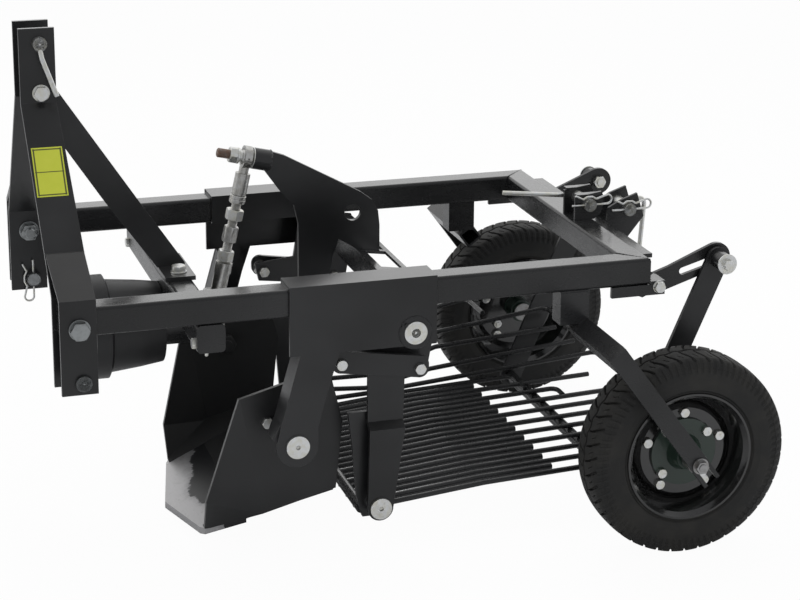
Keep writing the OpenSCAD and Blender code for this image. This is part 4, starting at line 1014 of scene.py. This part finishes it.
# %% Pivot pins with marked faces
PIVOT = (620, -46)
SHARE_PIN = (404.5, -237)
LOW_PIVOT = (565, -384)
for side, word in SIDES:
    inward = ACROSS * -side
    pivot = machined(f"{word}_pivot_pin", beside(PIVOT, side, 348), inward, [turned(
        (2.2, 0.8), (0, 3), (0, 8), (0.4, 8.4), (0.4, 9), (0, 9.4), (0, 19.4), (1.6, 21),
        (71, 21))], zinc, "rocker", 64)
    share = machined(f"{word}_share_pin", beside(SHARE_PIN, side, 348), inward, [turned(
        (2, 0.8), (0, 3), (0, 20), (1, 21), (6, 21), (6, 12.5), (112, 12.5))], zinc, "frame",
        64)
    # The nut inside the trough takes the trough's black paint with its painted shade, so it stays
    # as dark as the shaded trough.
    machined(f"{word}_share_nut", beside(SHARE_PIN, side, 236), inward,
             [hexagon(36, 0, 18), cut_thread(18, 24, 12.5, 3)], trough_paint_shaded, "frame")
    low = machined(f"{word}_low_pin", beside(LOW_PIVOT, side, 322), inward, [turned(
        (2, 0.8), (0, 3), (0, 19), (1, 20), (6, 20), (6, 12), (14, 12), (14, 18.5), (14.5, 19),
        (32.5, 19), (33, 18.5), (33, 12), (50, 12), (50, 17.5), (50.5, 18), (53.5, 18),
        (54, 17.5))], zinc, "rocker", 64)
    if side < 0:
        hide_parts("rocker_pivot_pins")
        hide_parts("share_pivot_pins")
        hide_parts("low_pivot_pins")
print("pivot pins ready")

# %% Lever stud with its nut
STUD = Vector((-DOWN.z, 0, DOWN.x))
stud = machined("stud_thread", EYE - STUD * 0.057, STUD, [
    turned((0, 6.8), (1.6, 8.6)), cut_thread(1.6, 23, 9, 2.2)], stud_rust, "rocker")
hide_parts("lever_stud")
machined("stud_nut", EYE - STUD * 0.034, STUD, [
    hexagon(27, 0, 15), washer(15, 19, 15), turned((19, 11), (24, 11))],
    zinc, "rocker")
machined("stud_washer", EYE - STUD * 0.010, STUD, [
    turned((0, 9), (20, 9)), washer(20, 22, 20)], zinc, "rocker")
print("stud ready")

# %% [markdown]
# ## Weld beads
#
# Welds hold this machine together, and every bead catches a little light. A bead is a bent bar
# whose radius ripples along its length, sunk halfway into the corner that it fills.

# %% Weld bead
def weld(name, points, width, body, step=2.2):
    """A rippled bead of a width in millimetres along places given in metres."""
    chance = random.Random(name)
    line = []
    for a, b in zip(points, points[1:]):
        parts = max(2, round((b - a).length * 1000 / step))
        line += [a.lerp(b, k / parts) for k in range(parts)]
    line.append(points[-1])
    rings = []
    for i, p in enumerate(line):
        a = line[max(i - 1, 0)]
        b = line[min(i + 1, len(line) - 1)]
        grow = min(1.0, (i + 0.5) / 2, (len(line) - i - 0.5) / 2)
        r = width / 2 * grow * (1 + 0.18 * math.sin(i * 2.1) + chance.uniform(-0.1, 0.1))
        rings.append(ring_points(p, (b - a).normalized(), [r / 1000] * 10))
    return skin(name, rings, plate_paint, body)


def circle_points(centre, u, v, r, count=24):
    turns = [math.radians(360 * k / count) for k in range(count + 1)]
    return [centre + (u * math.cos(a) + v * math.sin(a)) * r / 1000 for a in turns]


for side, word in SIDES:
    weld(f"{word}_saddle_front_weld", [place(392, side * 342, 56), place(392, side * 336, 50),
                                       place(392, side * 288, 50)], 4, "frame")
    weld(f"{word}_saddle_rear_weld", [place(660, side * 336, -4), place(660, side * 337, 50),
                                      place(660, side * 286, 51)], 4, "frame")
    weld(f"{word}_corner_weld", [place(1069, side * 336, 48.5), place(1020, side * 286, 50)], 3,
         "frame")
    weld(f"{word}_boss_weld", circle_points(beside(PIVOT, side, 342), BACK, UP, 29.5), 3.5, "frame")
    weld(f"{word}_post_weld", [place(895, side * 335, 0), place(952, side * 335, 0)], 4, "frame")
    weld(f"{word}_leg_weld", [place(-6, side * 286, 1), place(58, side * 286, 1)], 4, "frame")
weld("lever_boss_weld", circle_points(EYE + STUD * 0.0435, ACROSS, DOWN, 18), 5, "rocker")
for y, word in ((-6, "near"), (6, "far")):
    weld(f"lever_foot_weld_{word}", [place(612, y, 8), place(650, y, 3)], 5, "rocker")
print("welds ready")

# %% [markdown]
# ## Floor, light and camera
#
# The photograph is a plain studio picture: a white ground, one broad soft light above, a weaker one
# in front and a long lens a little above the machine. The ground is pale by its own colour and
# shows nearly white to the camera, but keeps the machine's shadow. The world shows white to the
# camera and in reflections that look past the machine, so metal finds something to mirror while
# the paint keeps its depth, and the lamps stay out of reflections.

# %% Studio floor
WHITE = (1, 1, 1, 1)
FLOOR_EDGE = 12
FLOOR_DROP = 0.0005


def studio_floor():
    coat = Coat("studio_floor")
    seen = coat.wire(coat.node("ShaderNodeLightPath"), "Is Camera Ray")
    plain = coat.node("ShaderNodeBsdfDiffuse", None, {"Color": (0.86, 0.86, 0.86, 1)})
    white = coat.node("ShaderNodeEmission", None, {"Color": WHITE, "Strength": 1.0})
    both = coat.node("ShaderNodeMixShader", None, {
        0: seen * 0.965, 1: coat.wire(plain), 2: coat.wire(white)})
    coat.node("ShaderNodeOutputMaterial", None, {0: coat.wire(both)})
    mesh = bpy.data.meshes.new("studio_floor")
    corners = [(-1, -1), (1, -1), (1, 1), (-1, 1)]
    mesh.from_pydata([(x * FLOOR_EDGE, y * FLOOR_EDGE, 0) for x, y in corners], [], [(0, 1, 2, 3)])
    floor = bpy.data.objects.new("studio_floor", mesh)
    floor.location.z = -FLOOR_DROP
    mesh.materials.append(coat.owner)
    bpy.context.scene.collection.objects.link(floor)
    return floor


print(studio_floor().name)

# %% Soft world
SKY = (0.80, 0.81, 0.83, 1)
SKY_LEVEL = 0.62
TURN_WHITE = 0.25


def studio_world():
    """A grey sky that turns white for the camera and for reflections that look past the machine."""
    sky = Coat("studio", world=True)
    ray = sky.node("ShaderNodeLightPath")
    ahead = sky.node("ShaderNodeSeparateXYZ", None, {
        0: sky.wire(sky.node("ShaderNodeTexCoord"), "Generated")})
    beyond = sky.node("ShaderNodeMapRange", None, {
        "Value": sky.wire(ahead, "Y"), "From Min": -TURN_WHITE, "From Max": TURN_WHITE})
    mirrored = sky.wire(ray, "Is Glossy Ray") * sky.wire(beyond)
    shown = sky.wire(ray, "Is Camera Ray").most(mirrored)
    shown = shown.most(sky.wire(ray, "Is Transmission Ray"))
    lit = sky.node("ShaderNodeBackground", None, {"Color": SKY, "Strength": SKY_LEVEL})
    white = sky.node("ShaderNodeBackground", None, {"Color": WHITE, "Strength": 1.0})
    both = sky.node("ShaderNodeMixShader", None, {
        0: shown, 1: sky.wire(lit), 2: sky.wire(white)})
    sky.node("ShaderNodeOutputWorld", None, {0: sky.wire(both)})
    bpy.context.scene.world = sky.owner


studio_world()
print("world:", bpy.context.scene.world.name)


# %% Soft lamps
def soft_lamp(name, size, power, spot, target):
    data = bpy.data.lights.new(name, "AREA")
    data.shape = "RECTANGLE"
    data.size, data.size_y = size
    data.energy = power
    lamp = bpy.data.objects.new(name, data)
    lamp.location = spot
    lamp.rotation_euler = (Vector(target) - Vector(spot)).to_track_quat("-Z", "Y").to_euler()
    lamp.visible_glossy = False
    bpy.context.scene.collection.objects.link(lamp)


soft_lamp("ceiling_box", (3.2, 2.6), 52, (0.5, 1.3, 3.0), (0.2, 0.4, 0.3))
soft_lamp("front_box", (1.6, 2.0), 14, (0.9, -3.4, 1.9), (0, 0, 0.35))
print("lamps:", len(bpy.data.lights))

# %% Camera with a long lens and a small shift
CAMERA_SPOT = (-1.1053, -3.7349, 1.6515)
CAMERA_TURN = (75.15, -0.31, -17.27)
bpy.context.scene.view_settings.view_transform = "Standard"
lens = bpy.data.cameras.new("photo_camera")
lens.sensor_width = 36
lens.lens = 96.0
lens.shift_y = -0.15
lens.clip_start = 0.05
camera = bpy.data.objects.new("photo_camera", lens)
camera.location = CAMERA_SPOT
camera.rotation_euler = [math.radians(a) for a in CAMERA_TURN]
bpy.context.scene.collection.objects.link(camera)
bpy.context.scene.camera = camera
print("camera at", CAMERA_SPOT)
